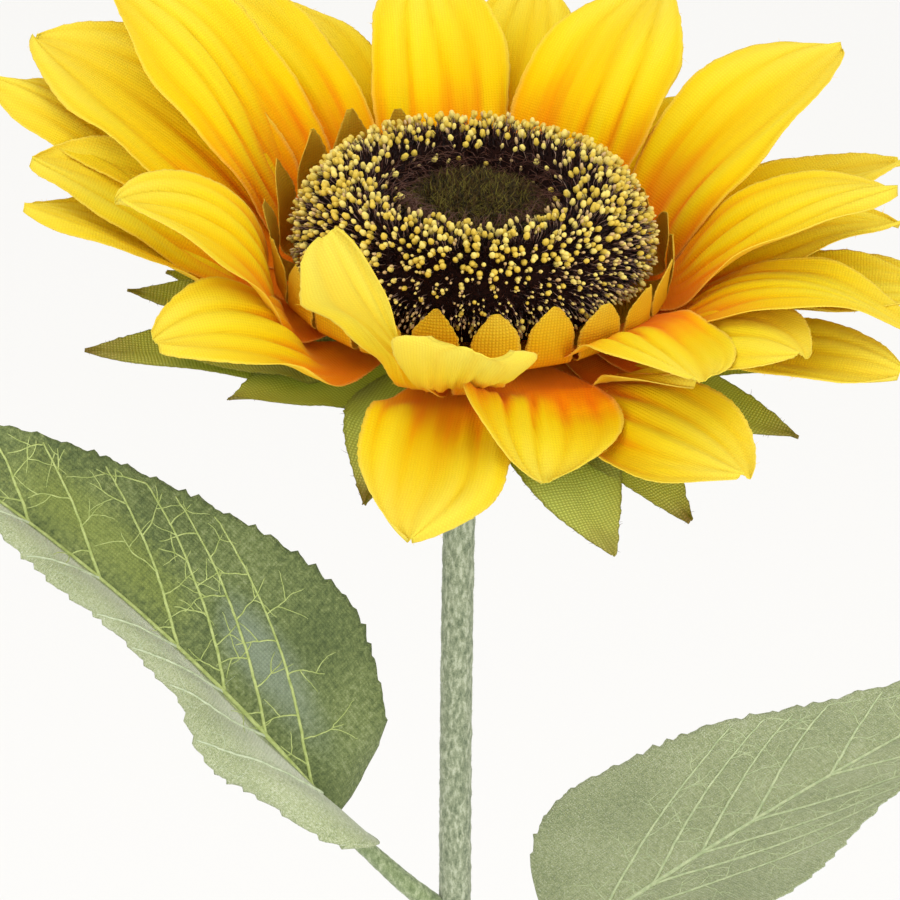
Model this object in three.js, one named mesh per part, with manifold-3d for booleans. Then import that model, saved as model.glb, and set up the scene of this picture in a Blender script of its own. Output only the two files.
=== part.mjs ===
// An artificial sunflower stem: one large bloom of woven fabric petals on a flocked stem with two leaves.
// Millimetres, +Z up. The origin is the centre of the stem's flat cut, and -Y faces the viewer.
import * as THREE from 'three';
import { mergeVertices } from 'three/addons/utils/BufferGeometryUtils.js';
import Module from 'manifold-3d';

const wasm = await Module();
wasm.setup();

// Driving dimensions of the whole stem.
const STEM_FOOT_RADIUS = 4.3;
const STEM_TOP_RADIUS = 3.9;
const BLOOM_PLACE = new THREE.Vector3(3, -12, 470);
const BLOOM_NOD = 12;
const BLOOM_LEAN = 2;

// Clearance between neighbouring pieces, and how far flat neighbouring triangles may be merged.
const GAP = 0.3;
const MERGE_TOLERANCE = 0.04;

// The seed head: a dark ring with a hollow in the middle, standing on the bloom's own plane.
const SEED_RADIUS = 44;
const SEED_HEIGHT = 27;
const HOLLOW_FLOOR = 17;
const CENTRE_RADIUS = 11.5;
const CENTRE_HEIGHT = 3;

// The receptacle under it, which the petals and sepals grow from.
const HUB_RADIUS = 20;
const HUB_TOP = -3.4;
const HUB_UNDERSIDE = -13.3;
const NECK_RADIUS = 12;
const NECK_BOTTOM = -20.5;
const HUB_BOTTOM = -30;

// Heights of the petal layers and of the sepal layers, from the lowest to the highest.
const PETAL_LAYERS = [-12, -10.5, -9.05, -7.6, -6.15, -4.7];
const SEPAL_LAYERS = [-19.1, -17.6, -16.1, -14.6];
const PETAL_THICKNESS = 1.1;
const SEPAL_THICKNESS = 0.9;
const LEAF_THICKNESS = 1.7;
const LEAF_RIB = 1.6;
const LEAF_TOOTH = 1.4;
const SEPAL_TOOTH = 0.8;

// The ring of short petals that hugs the seed head.
const INNER_COUNT = 22;
const INNER_THICKNESS = 1;
const INNER_RING = { inner: 14, outer: 40.5, bottom: -3, top: -0.35 };

// How a blade is shaped from its claw to its lift: where the claw ends, and how early the lift begins.
const CLAW_SHARE_OF_RUN = 0.35;
const LIFT_LEAD = 4;

const LEFT_LEAF_FOOT = new THREE.Vector3(-30, -8, 331);
const RIGHT_LEAF_FOOT = new THREE.Vector3(28.5, 10, 290);

// What a petal is unless its own row says otherwise. Angles are in degrees.
// at: direction round the bloom. run: flat stretch under the seed head. lift: length of the upward curve.
// rise and bend: slope after the lift, and how it changes by the tip. veer and sweep: turns to one side.
// claw: width at the foot. curl: how far the left half rolls over. nearShare: that half's share of width.
const PETAL = {
  at: 0, veer: 0, sweep: 0, start: HUB_RADIUS + GAP, run: 24, lift: 14, length: 84, width: 32, claw: 8,
  rise: 12, bend: 0, roll: 0, twist: 0, cup: 14, fold: 0, curl: 0, nearShare: 1, quick: 3,
  peak: 0.55, blunt: 2.6, point: 0.74, swell: 1.15, tip: 0.045,
};

// The petals in order round the bloom, from the viewer's right by way of the back.
const PETALS = [
  { at: 2, layer: 5, width: 30, rise: 61, bend: -63, length: 86 },
  { at: 2, layer: 1, width: 30, rise: 26, bend: -38, length: 94 },
  { at: 10, layer: 3, width: 28, rise: 41, bend: -49, length: 86 },
  { at: 24, layer: 2, width: 30, veer: -4, rise: 35, bend: -32, length: 95 },
  { at: 31, layer: 4, width: 36, blunt: 3.4, rise: 69, bend: -61, length: 98 },
  { at: 47, layer: 2, width: 31, rise: 46, bend: -40, length: 86 },
  { at: 64, layer: 5, width: 37, cup: 16, rise: 64, bend: -57, length: 97 },
  { at: 82, layer: 2, width: 32, rise: 51, bend: -39, length: 100 },
  { at: 97, layer: 4, width: 35, rise: 59, bend: -48, length: 97 },
  { at: 117, layer: 1, width: 32, rise: 55, bend: -45, length: 98 },
  { at: 127, layer: 3, width: 34, rise: 56, bend: -42, length: 104 },
  { at: 144, layer: 5, width: 40, rise: 62, bend: -45, length: 109 },
  { at: 155, layer: 4, width: 42, roll: -12, rise: 54, bend: -45, length: 109 },
  { at: 161, layer: 2, width: 31, roll: -12, rise: 43, bend: -35, length: 110 },
  { at: 172, layer: 3, width: 33, roll: -14, rise: 44, bend: -36, length: 91 },
  { at: 180, layer: 1, width: 30, rise: 42, bend: -39, length: 90 },
  { at: 203, layer: 4, width: 34, veer: -7, roll: -10, rise: 89, bend: -88, length: 82 },
  { at: 226, layer: 2, width: 31, veer: -14, sweep: -8, roll: -16, rise: 62, bend: -76, length: 73 },
  {
    at: 258.6, layer: 3, width: 22.7, cup: -1, fold: -3, curl: -58, nearShare: 0.54, peak: 0.76, blunt: 3.8,
    point: 0.81, sweep: -85, roll: -40, twist: 132, rise: 49, bend: 17, length: 87,
  },
  { at: 263, layer: 1, width: 34, cup: 8, roll: -12, rise: 2, bend: -36, length: 68.5 },
  {
    at: 268, layer: 5, width: 37.4, cup: 39, fold: -9, curl: 15, nearShare: 0.79, peak: 0.84, blunt: 6.5,
    point: 0.76, veer: -5, sweep: 25, roll: -3, twist: -13, rise: 22, bend: 42, length: 60.5,
  },
  {
    at: 288, layer: 3, width: 40, cup: 28, peak: 0.64, blunt: 2.3, veer: -7, sweep: 4, roll: -15, bend: -43,
    rise: 0, length: 50,
  },
  { at: 302, layer: 1, width: 37, cup: 21, veer: 10, sweep: 5, roll: 4, rise: -2, length: 74.5 },
  {
    at: 318, layer: 5, width: 35, cup: 6, peak: 0.41, blunt: 4.9, veer: -5, sweep: -14, roll: 6, twist: -23,
    rise: 54, bend: -62, length: 59,
  },
  { at: 320, layer: 2, width: 24, roll: -6, rise: 50, bend: -58, length: 48 },
  {
    at: 332, layer: 3, width: 33, cup: 6, peak: 0.59, blunt: 3.1, sweep: -13, roll: 5, rise: 42, bend: -49,
    length: 68.5,
  },
  { at: 340, layer: 0, width: 30, rise: 28, bend: -41, length: 85 },
  { at: 346, layer: 4, width: 32, roll: -6, rise: 46, bend: -72, length: 89 },
  { at: 357, layer: 2, width: 29, veer: -2, rise: 34, bend: -48, length: 90 },
];

const SEPAL = {
  start: NECK_RADIUS + GAP, run: 30, claw: 7, width: 30, rise: 0, cup: 12, peak: 0.4, blunt: 1.35, point: 0.9,
};

// The sepals in order round the bloom, from the viewer's right by way of the back.
const SEPALS = [
  { at: 20, layer: 2, bend: -2, length: 70 },
  { at: 46, layer: 3, length: 68 },
  { at: 72, layer: 1, bend: -2, length: 70 },
  { at: 98, layer: 2, bend: -2, length: 70 },
  { at: 124, layer: 3, length: 68 },
  { at: 147, layer: 0, rise: 2, bend: -2, length: 70 },
  { at: 168, layer: 1, rise: 16, bend: -4, length: 63 },
  { at: 177, layer: 3, rise: 12, bend: -8, length: 69 },
  { at: 190, layer: 0, rise: 5, length: 79 },
  { at: 197, layer: 2, rise: 9, length: 62 },
  { at: 213, layer: 1, rise: 5, length: 53 },
  { at: 251, layer: 2, rise: -12, bend: -8, length: 60 },
  { at: 292, layer: 3, rise: -26, bend: 14, length: 76 },
  { at: 308, layer: 1, rise: -16, length: 70 },
  { at: 331, layer: 2, rise: -1, bend: -4, length: 73 },
  { at: 355, layer: 1, bend: -2, length: 70 },
];

const INNER = {
  start: 38.6, level: -2.45, run: 6.6, lift: 7.5, rise: 84, width: 11.5, claw: 9, peak: 0.45, blunt: 2.1,
};

const LEAF = { run: 0, claw: 18, cup: 6, quick: 8, peak: 0.22, blunt: 1.4, point: 1, swell: 0.5 };
const LEAVES = {
  leaf_left: {
    foot: LEFT_LEAF_FOOT, at: 172, length: 162, width: 78, rise: 52, bend: -24, roll: -29, fold: 22,
    curl: -75, nearShare: 0.48,
  },
  leaf_right: {
    foot: RIGHT_LEAF_FOOT, at: 28, length: 150, width: 84, rise: 24, bend: -10, roll: 4, fold: 8,
  },
};

const radians = THREE.MathUtils.degToRad;

function smooth(x) {
  const t = Math.min(1, Math.max(0, x));
  return t * t * (3 - 2 * t);
}

// Half of a blade's width at a distance along it: a narrow claw, a swelling, then a rounded point.
function halfWidth(reach, shape) {
  const clawEnd = shape.run * CLAW_SHARE_OF_RUN;
  const share = (reach - clawEnd) / (shape.length - clawEnd);
  if (share <= 0) return shape.claw / 2;
  if (share < shape.peak) {
    const grown = Math.sin((Math.PI / 2) * (share / shape.peak)) ** shape.swell;
    return (shape.claw + (shape.width - shape.claw) * grown) / 2;
  }
  const rest = Math.min(1, (share - shape.peak) / (1 - shape.peak));
  return (shape.width / 2) * Math.max(shape.tip, (1 - rest ** shape.blunt) ** shape.point);
}

// Slope, heading and roll of the centre line at a distance along a blade, in radians.
function attitude(reach, shape) {
  const out = Math.max(0, (reach - shape.run) / (shape.length - shape.run));
  const lifted = shape.run > 0 ? smooth((reach - shape.run + LIFT_LEAD) / shape.lift) : 1;
  return {
    out,
    slope: radians(shape.rise * lifted + shape.bend * out),
    heading: radians(shape.at + shape.veer * smooth(reach / Math.max(shape.run, 1)) + shape.sweep * out),
    roll: radians(shape.roll * smooth((out + 0.05) * shape.quick) + shape.twist * out),
  };
}

function direction(slope, heading) {
  return new THREE.Vector3(
    Math.cos(heading) * Math.cos(slope),
    Math.sin(heading) * Math.cos(slope),
    Math.sin(slope),
  );
}

// Distance sideways and upwards of a point across a cupped blade, for a flat share v of its half width.
function acrossProfile(v, shape, opened) {
  const steps = 12;
  const share = Math.abs(v);
  const extra = v >= 0 ? shape.curl : 0;
  const moved = { side: 0, up: 0 };
  for (let i = 0; i < steps; i += 1) {
    const at = (share * (i + 0.5)) / steps;
    const angle = radians(shape.fold + shape.cup * at + extra * smooth((at - 0.35) / 0.65)) * opened;
    moved.side += (Math.cos(angle) * share) / steps;
    moved.up += (Math.sin(angle) * share) / steps;
  }
  return moved;
}

// Rows of points on a blade's middle surface. teeth moves every other margin point outwards.
function bladeRows(shape, rowCount, columns, teeth = 0) {
  const fine = 4;
  const step = shape.length / (rowCount * fine);
  const start = radians(shape.at);
  const place = shape.foot
    ? shape.foot.clone()
    : new THREE.Vector3(shape.start * Math.cos(start), shape.start * Math.sin(start), shape.level);
  const rows = [];
  for (let k = 0; k <= rowCount * fine; k += 1) {
    const reach = step * k;
    const now = attitude(reach, shape);
    if (k % fine === 0) {
      const along = direction(now.slope, now.heading);
      const flatSide = new THREE.Vector3(-Math.sin(now.heading), Math.cos(now.heading), 0);
      const side = flatSide.clone().applyAxisAngle(along, now.roll);
      const up = along.clone().cross(side);
      const opened = shape.run > 0 ? smooth(now.out * 4) : smooth((now.out + 0.05) * shape.quick);
      const half = halfWidth(reach, shape);
      const row = columns.map((v) => {
        const toothed = Math.abs(v) === 1 && (k / fine) % 2 === 1 ? teeth : 0;
        const share = v >= 0 ? shape.nearShare : 1;
        const moved = acrossProfile(v, shape, opened);
        const reachOut = Math.sign(v) * (half * share * moved.side + toothed);
        return place.clone().addScaledVector(side, reachOut).addScaledVector(up, half * share * moved.up);
      });
      rows.push(row);
    }
    const next = attitude(reach + step / 2, shape);
    place.addScaledVector(direction(next.slope, next.heading), step);
  }
  return rows;
}

// Unit normals of a grid of points, from the differences between neighbours.
function gridNormals(rows) {
  const lastRow = rows.length - 1;
  const lastColumn = rows[0].length - 1;
  return rows.map((row, i) => row.map((point, j) => {
    const lengthwise = rows[Math.min(i + 1, lastRow)][j].clone().sub(rows[Math.max(i - 1, 0)][j]);
    const sideways = row[Math.min(j + 1, lastColumn)].clone().sub(row[Math.max(j - 1, 0)]);
    return lengthwise.cross(sideways).normalize();
  }));
}

function geometryOf(points, triangles) {
  const geometry = new THREE.BufferGeometry();
  geometry.setFromPoints(points);
  geometry.setIndex(triangles.flat());
  return geometry;
}

// A closed plate round a grid of middle points. below adds thickness underneath at row i, column j.
function plate(rows, thickness, below = () => 0) {
  const normals = gridNormals(rows);
  const width = rows[0].length;
  const lower = rows.length * width;
  const half = thickness / 2;
  const moved = (by) => rows.flatMap((row, i) => (
    row.map((point, j) => point.clone().addScaledVector(normals[i][j], by(i, j)))));
  const top = moved(() => half);
  const bottom = moved((i, j) => -half - below(i, j));
  const triangles = [];
  for (let i = 0; i < rows.length - 1; i += 1) {
    for (let j = 0; j < width - 1; j += 1) {
      const a = i * width + j;
      const [b, c, d] = [a + width, a + width + 1, a + 1];
      triangles.push([a, b, c], [a, c, d]);
      triangles.push([lower + a, lower + c, lower + b], [lower + a, lower + d, lower + c]);
    }
  }
  const rim = [];
  for (let i = 0; i < rows.length; i += 1) rim.push(i * width);
  for (let j = 1; j < width; j += 1) rim.push((rows.length - 1) * width + j);
  for (let i = rows.length - 2; i >= 0; i -= 1) rim.push(i * width + width - 1);
  for (let j = width - 2; j > 0; j -= 1) rim.push(j);
  rim.forEach((a, k) => {
    const b = rim[(k + 1) % rim.length];
    triangles.push([a, lower + a, lower + b], [a, lower + b, b]);
  });
  return geometryOf([...top, ...bottom], triangles);
}

// A round limb along a line of points, tapering from the first radius to the last, with flat ends.
function limb(points, firstRadius, lastRadius, sides) {
  const last = points.length - 1;
  const ring = points.flatMap((point, i) => {
    const along = points[Math.min(i + 1, last)].clone().sub(points[Math.max(i - 1, 0)]).normalize();
    const across = new THREE.Vector3(0, 1, 0).cross(along).normalize();
    const other = along.clone().cross(across);
    const radius = THREE.MathUtils.lerp(firstRadius, lastRadius, i / last);
    return Array.from({ length: sides }, (_, s) => {
      const turn = (2 * Math.PI * s) / sides;
      return point.clone()
        .addScaledVector(across, radius * Math.cos(turn))
        .addScaledVector(other, radius * Math.sin(turn));
    });
  });
  const foot = ring.length;
  const head = foot + 1;
  const triangles = [];
  for (let s = 0; s < sides; s += 1) {
    const t = (s + 1) % sides;
    for (let i = 0; i < last; i += 1) {
      const [a, b] = [i * sides + s, i * sides + t];
      triangles.push([a, b, b + sides], [a, b + sides, a + sides]);
    }
    triangles.push([foot, t, s], [head, last * sides + s, last * sides + t]);
  }
  return geometryOf([...ring, points[0].clone(), points[last].clone()], triangles);
}

// A turned piece about Z from [radius, height] pairs that start and end on the axis, or close on themselves.
function turned(profile, segments) {
  const points = profile.map(([radius, height]) => new THREE.Vector2(radius, height));
  return new THREE.LatheGeometry(points, segments).rotateX(Math.PI / 2);
}

function solidOf(geometry) {
  const bare = geometry.clone();
  bare.deleteAttribute('normal');
  bare.deleteAttribute('uv');
  const merged = mergeVertices(bare, 1e-4);
  const build = (triVerts) => new wasm.Manifold(new wasm.Mesh({
    numProp: 3,
    vertProperties: new Float32Array(merged.attributes.position.array),
    triVerts,
  }));
  const order = Array.from(merged.index.array);
  const solid = build(new Uint32Array(order));
  return solid.volume() > 0 ? solid : build(new Uint32Array(order.reverse()));
}

// The largest piece of a solid, so that slivers left by a cut are dropped.
function mainPiece(solid) {
  const pieces = solid.decompose();
  return pieces.reduce((best, piece) => (piece.volume() > best.volume() ? piece : best));
}

function meshOf(name, solid, material) {
  const { vertProperties, triVerts } = solid.simplify(MERGE_TOLERANCE).getMesh();
  const geometry = new THREE.BufferGeometry();
  geometry.setAttribute('position', new THREE.BufferAttribute(new Float32Array(vertProperties), 3));
  geometry.setIndex(Array.from(triVerts));
  geometry.computeVertexNormals();
  const mesh = new THREE.Mesh(geometry, material);
  mesh.name = name;
  return mesh;
}

function numbered(word, index) {
  return `${word}_${String(index + 1).padStart(2, '0')}`;
}

const yellowCloth = new THREE.MeshStandardMaterial({ name: 'petal_cloth', color: '#f2bd16', roughness: 0.9 });
const ochreCloth = new THREE.MeshStandardMaterial({ name: 'inner_cloth', color: '#d9960f', roughness: 0.9 });
const oliveCloth = new THREE.MeshStandardMaterial({ name: 'sepal_cloth', color: '#6a7027', roughness: 0.9 });
const leafCloth = new THREE.MeshStandardMaterial({ name: 'leaf_cloth', color: '#66774a', roughness: 0.9 });
const flock = new THREE.MeshStandardMaterial({ name: 'stem_flock', color: '#93a389', roughness: 0.95 });
const bristle = new THREE.MeshStandardMaterial({ name: 'seed_bristle', color: '#3a2312', roughness: 0.8 });
const moss = new THREE.MeshStandardMaterial({ name: 'centre_moss', color: '#3c3a17', roughness: 0.95 });

const flower = new THREE.Group();
const bloom = new THREE.Group();
bloom.position.copy(BLOOM_PLACE);
bloom.rotation.set(radians(BLOOM_NOD), radians(BLOOM_LEAN), 0);
bloom.updateMatrix();
flower.add(bloom);

const seedProfile = [
  [0, 0], [30, 0], [36, 1], [42, 4], [SEED_RADIUS, 10], [41.5, 18], [37, 24], [32, SEED_HEIGHT],
  [24, SEED_HEIGHT - 0.5], [19, 24], [15, 19], [10, HOLLOW_FLOOR], [0, HOLLOW_FLOOR],
];
bloom.add(meshOf('seed_head', solidOf(turned(seedProfile, 36)), bristle));

const centreFoot = HOLLOW_FLOOR + 2 * GAP;
const centreProfile = [
  [0, centreFoot], [CENTRE_RADIUS - 1.5, centreFoot], [CENTRE_RADIUS - 0.3, centreFoot + 1],
  [CENTRE_RADIUS * 0.7, centreFoot + CENTRE_HEIGHT * 0.8], [0, centreFoot + CENTRE_HEIGHT],
];
bloom.add(meshOf('seed_centre', solidOf(turned(centreProfile, 20)), moss));

const hubProfile = [
  [0, HUB_BOTTOM], [5, HUB_BOTTOM], [7.5, -25], [NECK_RADIUS, NECK_BOTTOM], [NECK_RADIUS, HUB_UNDERSIDE],
  [HUB_RADIUS, HUB_UNDERSIDE], [HUB_RADIUS, HUB_TOP], [0, HUB_TOP],
];
bloom.add(meshOf('receptacle', solidOf(turned(hubProfile, 28)), oliveCloth));

// How close a direction is to a middle one, from 1 down to 0.
function near(at, middle, spread) {
  const apart = THREE.MathUtils.euclideanModulo(at - middle + 180, 360) - 180;
  return Math.exp(-((apart / spread) ** 2));
}
const ringProfile = [
  [INNER_RING.inner, INNER_RING.bottom], [INNER_RING.outer, INNER_RING.bottom],
  [INNER_RING.outer, INNER_RING.top], [INNER_RING.inner, INNER_RING.top],
  [INNER_RING.inner, INNER_RING.bottom],
];
// The short inner petals stand on one flat ring. They are tallest at the back left, then at the front.
const INNER_ARC_TO_WALL = 10.2;
const INNER_LOWEST_TIP = 10.5;
let innerPetals = solidOf(turned(ringProfile, 36));
for (let i = 0; i < INNER_COUNT; i += 1) {
  const at = (360 * (i + 0.85)) / INNER_COUNT;
  const tipHeight = INNER_LOWEST_TIP + 12 * near(at, 135, 42) + 3 * near(at, 270, 40);
  const shape = { ...PETAL, ...INNER, at, length: INNER_ARC_TO_WALL + tipHeight };
  innerPetals = innerPetals.add(solidOf(plate(bladeRows(shape, 5, [-1, 0, 1]), INNER_THICKNESS)));
}
bloom.add(meshOf('inner_petals', innerPetals, ochreCloth));

// Blades of one kind, where each lower blade gives way to the higher ones that cross it.
function whorl(word, kind, rowsOf, levels, thickness, rowCount, columns, teeth, material) {
  const shapes = rowsOf.map((row) => ({ ...PETAL, ...kind, ...row, level: levels[row.layer] }));
  const shell = (shape, extra) => {
    const { width, claw, length } = shape;
    const grown = { ...shape, width: width + extra, claw: claw + extra, length: length + extra };
    return solidOf(plate(bladeRows(grown, rowCount, columns, teeth), thickness + 2 * extra));
  };
  const solids = shapes.map((shape) => shell(shape, 0));
  const wide = shapes.map((shape) => shell(shape, GAP));
  solids.forEach((solid, i) => {
    const cut = wide.reduce((left, other, j) => {
      const higher = shapes[j].level > shapes[i].level || (shapes[j].level === shapes[i].level && j < i);
      return higher && solid.intersect(other).volume() > 0 ? left.subtract(other) : left;
    }, solid);
    bloom.add(meshOf(numbered(word, i), mainPiece(cut), material));
  });
}
whorl('petal', {}, PETALS, PETAL_LAYERS, PETAL_THICKNESS, 8, [-1, -0.5, 0, 0.5, 1], 0, yellowCloth);
whorl('sepal', SEPAL, SEPALS, SEPAL_LAYERS, SEPAL_THICKNESS, 7, [-1, 0, 1], SEPAL_TOOTH, oliveCloth);

// The stem rises straight from its cut, and bends at the top to meet the receptacle squarely.
const stemTop = new THREE.Vector3(0, 0, HUB_BOTTOM - GAP).applyMatrix4(bloom.matrix);
const stemAxis = new THREE.Vector3(0, 0, 1).transformDirection(bloom.matrix);
const lowerLine = new THREE.CubicBezierCurve3(
  new THREE.Vector3(0, 0, 0),
  new THREE.Vector3(0, 0, 150),
  new THREE.Vector3(-2, 1, 300),
  new THREE.Vector3(0, 0, 400),
);
const upperLine = new THREE.CubicBezierCurve3(
  lowerLine.v3,
  new THREE.Vector3(0.4, -0.2, 420),
  stemTop.clone().addScaledVector(stemAxis, -10),
  stemTop,
);
const stemPoints = [...lowerLine.getPoints(14), ...upperLine.getPoints(6).slice(1)];
const stem = solidOf(limb(stemPoints, STEM_FOOT_RADIUS, STEM_TOP_RADIUS, 12));
flower.add(meshOf('stem', stem, flock));

// Each leaf is one toothed blade with a midrib underneath, and a stalk that joins it to the stem.
const stemWide = solidOf(limb(stemPoints, STEM_FOOT_RADIUS + GAP, STEM_TOP_RADIUS + GAP, 12));
const LEAF_COLUMNS = [-1, -0.6, -0.25, 0, 0.25, 0.6, 1];
const LEAF_RIB_COLUMN = 3;
const LEAF_ROWS = 24;
const STALK_RADII = { foot: 3.2, leaf: 1.8 };
const stalks = {
  leaf_left: { name: 'leaf_stalk_left', from: [0, 0, 299], bend: [-8, -2, 306], arrive: [-16, -5, 314] },
  leaf_right: { name: 'leaf_stalk_right', from: [0, 0, 276], bend: [8, 2, 280], arrive: [16, 6, 282] },
};
Object.entries(LEAVES).forEach(([name, row]) => {
  const shape = { ...PETAL, ...LEAF, ...row };
  const rows = bladeRows(shape, LEAF_ROWS, LEAF_COLUMNS, LEAF_TOOTH);
  const rib = (i, j) => (j === LEAF_RIB_COLUMN ? LEAF_RIB * (1 - i / (LEAF_ROWS + 1)) : 0);
  const leaf = solidOf(plate(rows, LEAF_THICKNESS, rib));
  const stalk = stalks[name];
  const arrive = new THREE.Vector3(...stalk.arrive);
  const clearance = arrive.clone().sub(row.foot).setLength(2 * GAP);
  const line = new THREE.CubicBezierCurve3(
    new THREE.Vector3(...stalk.from),
    new THREE.Vector3(...stalk.bend),
    arrive,
    row.foot.clone().add(clearance),
  );
  const whole = solidOf(limb(line.getPoints(8), STALK_RADII.foot, STALK_RADII.leaf, 10));
  const movedBack = { ...shape, foot: row.foot.clone().add(clearance) };
  const wideRows = bladeRows(movedBack, LEAF_ROWS, LEAF_COLUMNS, LEAF_TOOTH);
  const leafWide = solidOf(plate(wideRows, LEAF_THICKNESS + 2 * GAP, rib));
  const freed = mainPiece(whole.subtract(stemWide).subtract(leafWide));
  flower.add(meshOf(name, leaf, leafCloth));
  flower.add(meshOf(stalk.name, freed, flock));
});

export default flower;
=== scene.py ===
"""An artificial sunflower stem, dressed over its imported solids.

Shapes are worked out in millimetres, and a mesh, a light or the camera is in metres.
The bloom has its own frame: its plane is level there, and in_bloom() puts its points in the row frame.
"""
import math

import bpy
import numpy as np
from mathutils import Euler, Matrix, Vector


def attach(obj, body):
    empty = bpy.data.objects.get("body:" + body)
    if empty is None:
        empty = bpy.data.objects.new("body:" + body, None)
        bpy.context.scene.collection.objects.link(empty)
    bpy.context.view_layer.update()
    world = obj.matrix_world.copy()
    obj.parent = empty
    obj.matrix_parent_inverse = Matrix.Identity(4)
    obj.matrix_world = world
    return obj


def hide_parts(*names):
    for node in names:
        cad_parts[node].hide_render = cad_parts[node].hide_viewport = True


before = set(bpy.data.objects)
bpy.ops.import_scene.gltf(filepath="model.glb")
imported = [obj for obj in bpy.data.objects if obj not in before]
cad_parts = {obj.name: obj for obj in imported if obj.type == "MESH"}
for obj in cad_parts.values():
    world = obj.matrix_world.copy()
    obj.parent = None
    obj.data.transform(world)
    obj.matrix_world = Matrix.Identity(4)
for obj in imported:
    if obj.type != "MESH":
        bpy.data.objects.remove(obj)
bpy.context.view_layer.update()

MM = 0.001

# Where the bloom stands, as in the part's source.
BLOOM_PLACE = Vector((3, -12, 470))
BLOOM_NOD = math.radians(12)
BLOOM_LEAN = math.radians(2)
BLOOM_TURN = Matrix.Rotation(BLOOM_NOD, 3, "X") @ Matrix.Rotation(BLOOM_LEAN, 3, "Y")

# The camera of the photograph: 4.3 pixels for each millimetre at the bloom.
VIEW_TARGET = Vector((-0.0021, -0.0248, 0.4306))
VIEW_DISTANCE = 0.95
VIEW_ELEVATION = math.radians(18)
VIEW_LENS = 163.4

HUB_RADIUS = 20
NECK_RADIUS = 12
GAP = 0.3
PETAL_LAYERS = (-12, -10.5, -9.05, -7.6, -6.15, -4.7)
SEPAL_LAYERS = (-19.1, -17.6, -16.1, -14.6)
CLAW_SHARE_OF_RUN = 0.35
LIFT_LEAD = 4

# From this share of a blade's rows to its tip, its relief keeps to one direction.
HELD_SHARE = 0.94

# The camera's sensor and the half side of the floor that the plant stands on.
SENSOR_WIDTH = 36
FLOOR_REACH = 12.0

CLOTH_THICKNESS = 0.22
LEAF_CLOTH_THICKNESS = 0.34

# How far a noise moves the threads of the weave aside, in metres.
THREAD_WANDER = 0.0005

# What a petal is unless its own row says otherwise, in millimetres and degrees, as in the part's source.
PETAL = {
    "veer": 0, "sweep": 0, "start": HUB_RADIUS + GAP, "run": 24, "lift": 14, "claw": 8, "bend": 0, "roll": 0,
    "twist": 0, "cup": 14, "fold": 0, "curl": 0, "near_share": 1, "quick": 3, "peak": 0.55, "blunt": 2.6,
    "point": 0.74, "swell": 1.15, "tip": 0.045,
}
# These shape a petal in the scene alone: a notched, pinched or leaning tip, a tucked or drawn-in left edge,
# a corner on it, an arched middle, and a lift of all its colours towards the yellow of the tip. The lift is
# painted light on a base that lies in shade.
PETAL |= {
    "notch": 0.015, "pinch": 0.12, "hook": 0, "tuck": 0, "waist": 0, "corner": 0, "arch": 0, "ripe": 0,
}
SEPAL = {
    "start": NECK_RADIUS + GAP, "run": 30, "claw": 7, "width": 30, "cup": 12, "peak": 0.4, "blunt": 1.35,
    "point": 0.9,
}


def petal(at, layer, width, rise, bend, length, **own):
    """A petal's row: its place, layer, size and slope, and what else differs from PETAL."""
    row = {"at": at, "width": width, "rise": rise, "bend": bend, "length": length}
    return {**PETAL, "level": PETAL_LAYERS[layer], **row, **own}


def sepal(at, layer, rise, bend, length, **own):
    row = {"at": at, "rise": rise, "bend": bend, "length": length}
    return {**PETAL, **SEPAL, "level": SEPAL_LAYERS[layer], **row, **own}


PETALS = (
    petal(2, 5, 30, 61, -63, 86),
    petal(2, 1, 30, 26, -38, 94),
    petal(10, 3, 28, 41, -49, 86),
    petal(24, 2, 30, 35, -32, 95, veer=-4),
    petal(31, 4, 36, 69, -61, 98, blunt=3.4),
    petal(47, 2, 31, 46, -40, 86),
    petal(64, 5, 37, 64, -57, 97, cup=16),
    petal(82, 2, 32, 51, -39, 100),
    petal(97, 4, 35, 59, -48, 97),
    petal(117, 1, 32, 55, -45, 98),
    petal(127, 3, 34, 56, -42, 104),
    petal(144, 5, 40, 62, -45, 109),
    petal(155, 4, 42, 54, -45, 109, roll=-12),
    petal(161, 2, 31, 43, -35, 110, roll=-12),
    petal(172, 3, 33, 44, -36, 91, roll=-14),
    petal(180, 1, 30, 42, -39, 90),
    petal(203, 4, 34, 89, -88, 82, veer=-7, roll=-10),
    petal(226, 2, 31, 62, -76, 73, veer=-14, sweep=-8, roll=-16),
    petal(258.6, 3, 22.7, 49, 17, 87, cup=-1, fold=-3, curl=-58, near_share=0.54, peak=0.76, blunt=3.8,
          point=0.81, sweep=-85, roll=-40, twist=132, pinch=0, corner=0.4),
    # Painted light: this petal's colours are lifted towards the yellow of its tip, to brighten its shaded
    # base.
    petal(263, 1, 34, 2, -36, 68.5, cup=8, roll=-12, notch=0, hook=-2.8, ripe=0.13),
    petal(268, 5, 37.4, 22, 42, 60.5, cup=39, fold=-9, curl=15, near_share=0.79, peak=0.84, blunt=4.2,
          point=0.62, veer=-5, sweep=25, roll=-3, twist=-13, notch=0.01, pinch=0, waist=0.55),
    petal(288, 3, 40, 0, -43, 50, cup=28, peak=0.64, blunt=2.3, veer=-7, sweep=4, roll=-15),
    petal(302, 1, 37, -2, 0, 74.5, cup=21, veer=10, sweep=5, roll=4, tuck=5, waist=0.6),
    petal(318, 5, 35, 54, -62, 59, cup=6, peak=0.41, blunt=4.9, veer=-5, sweep=-14, roll=6, twist=-23,
          arch=6),
    petal(320, 2, 24, 50, -58, 48, roll=-6),
    petal(332, 3, 33, 42, -49, 68.5, cup=6, peak=0.59, blunt=3.1, sweep=-13, roll=5),
    petal(340, 0, 30, 28, -41, 85),
    petal(346, 4, 32, 46, -72, 89, roll=-6),
    petal(357, 2, 29, 34, -48, 90, veer=-2),
)
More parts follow.
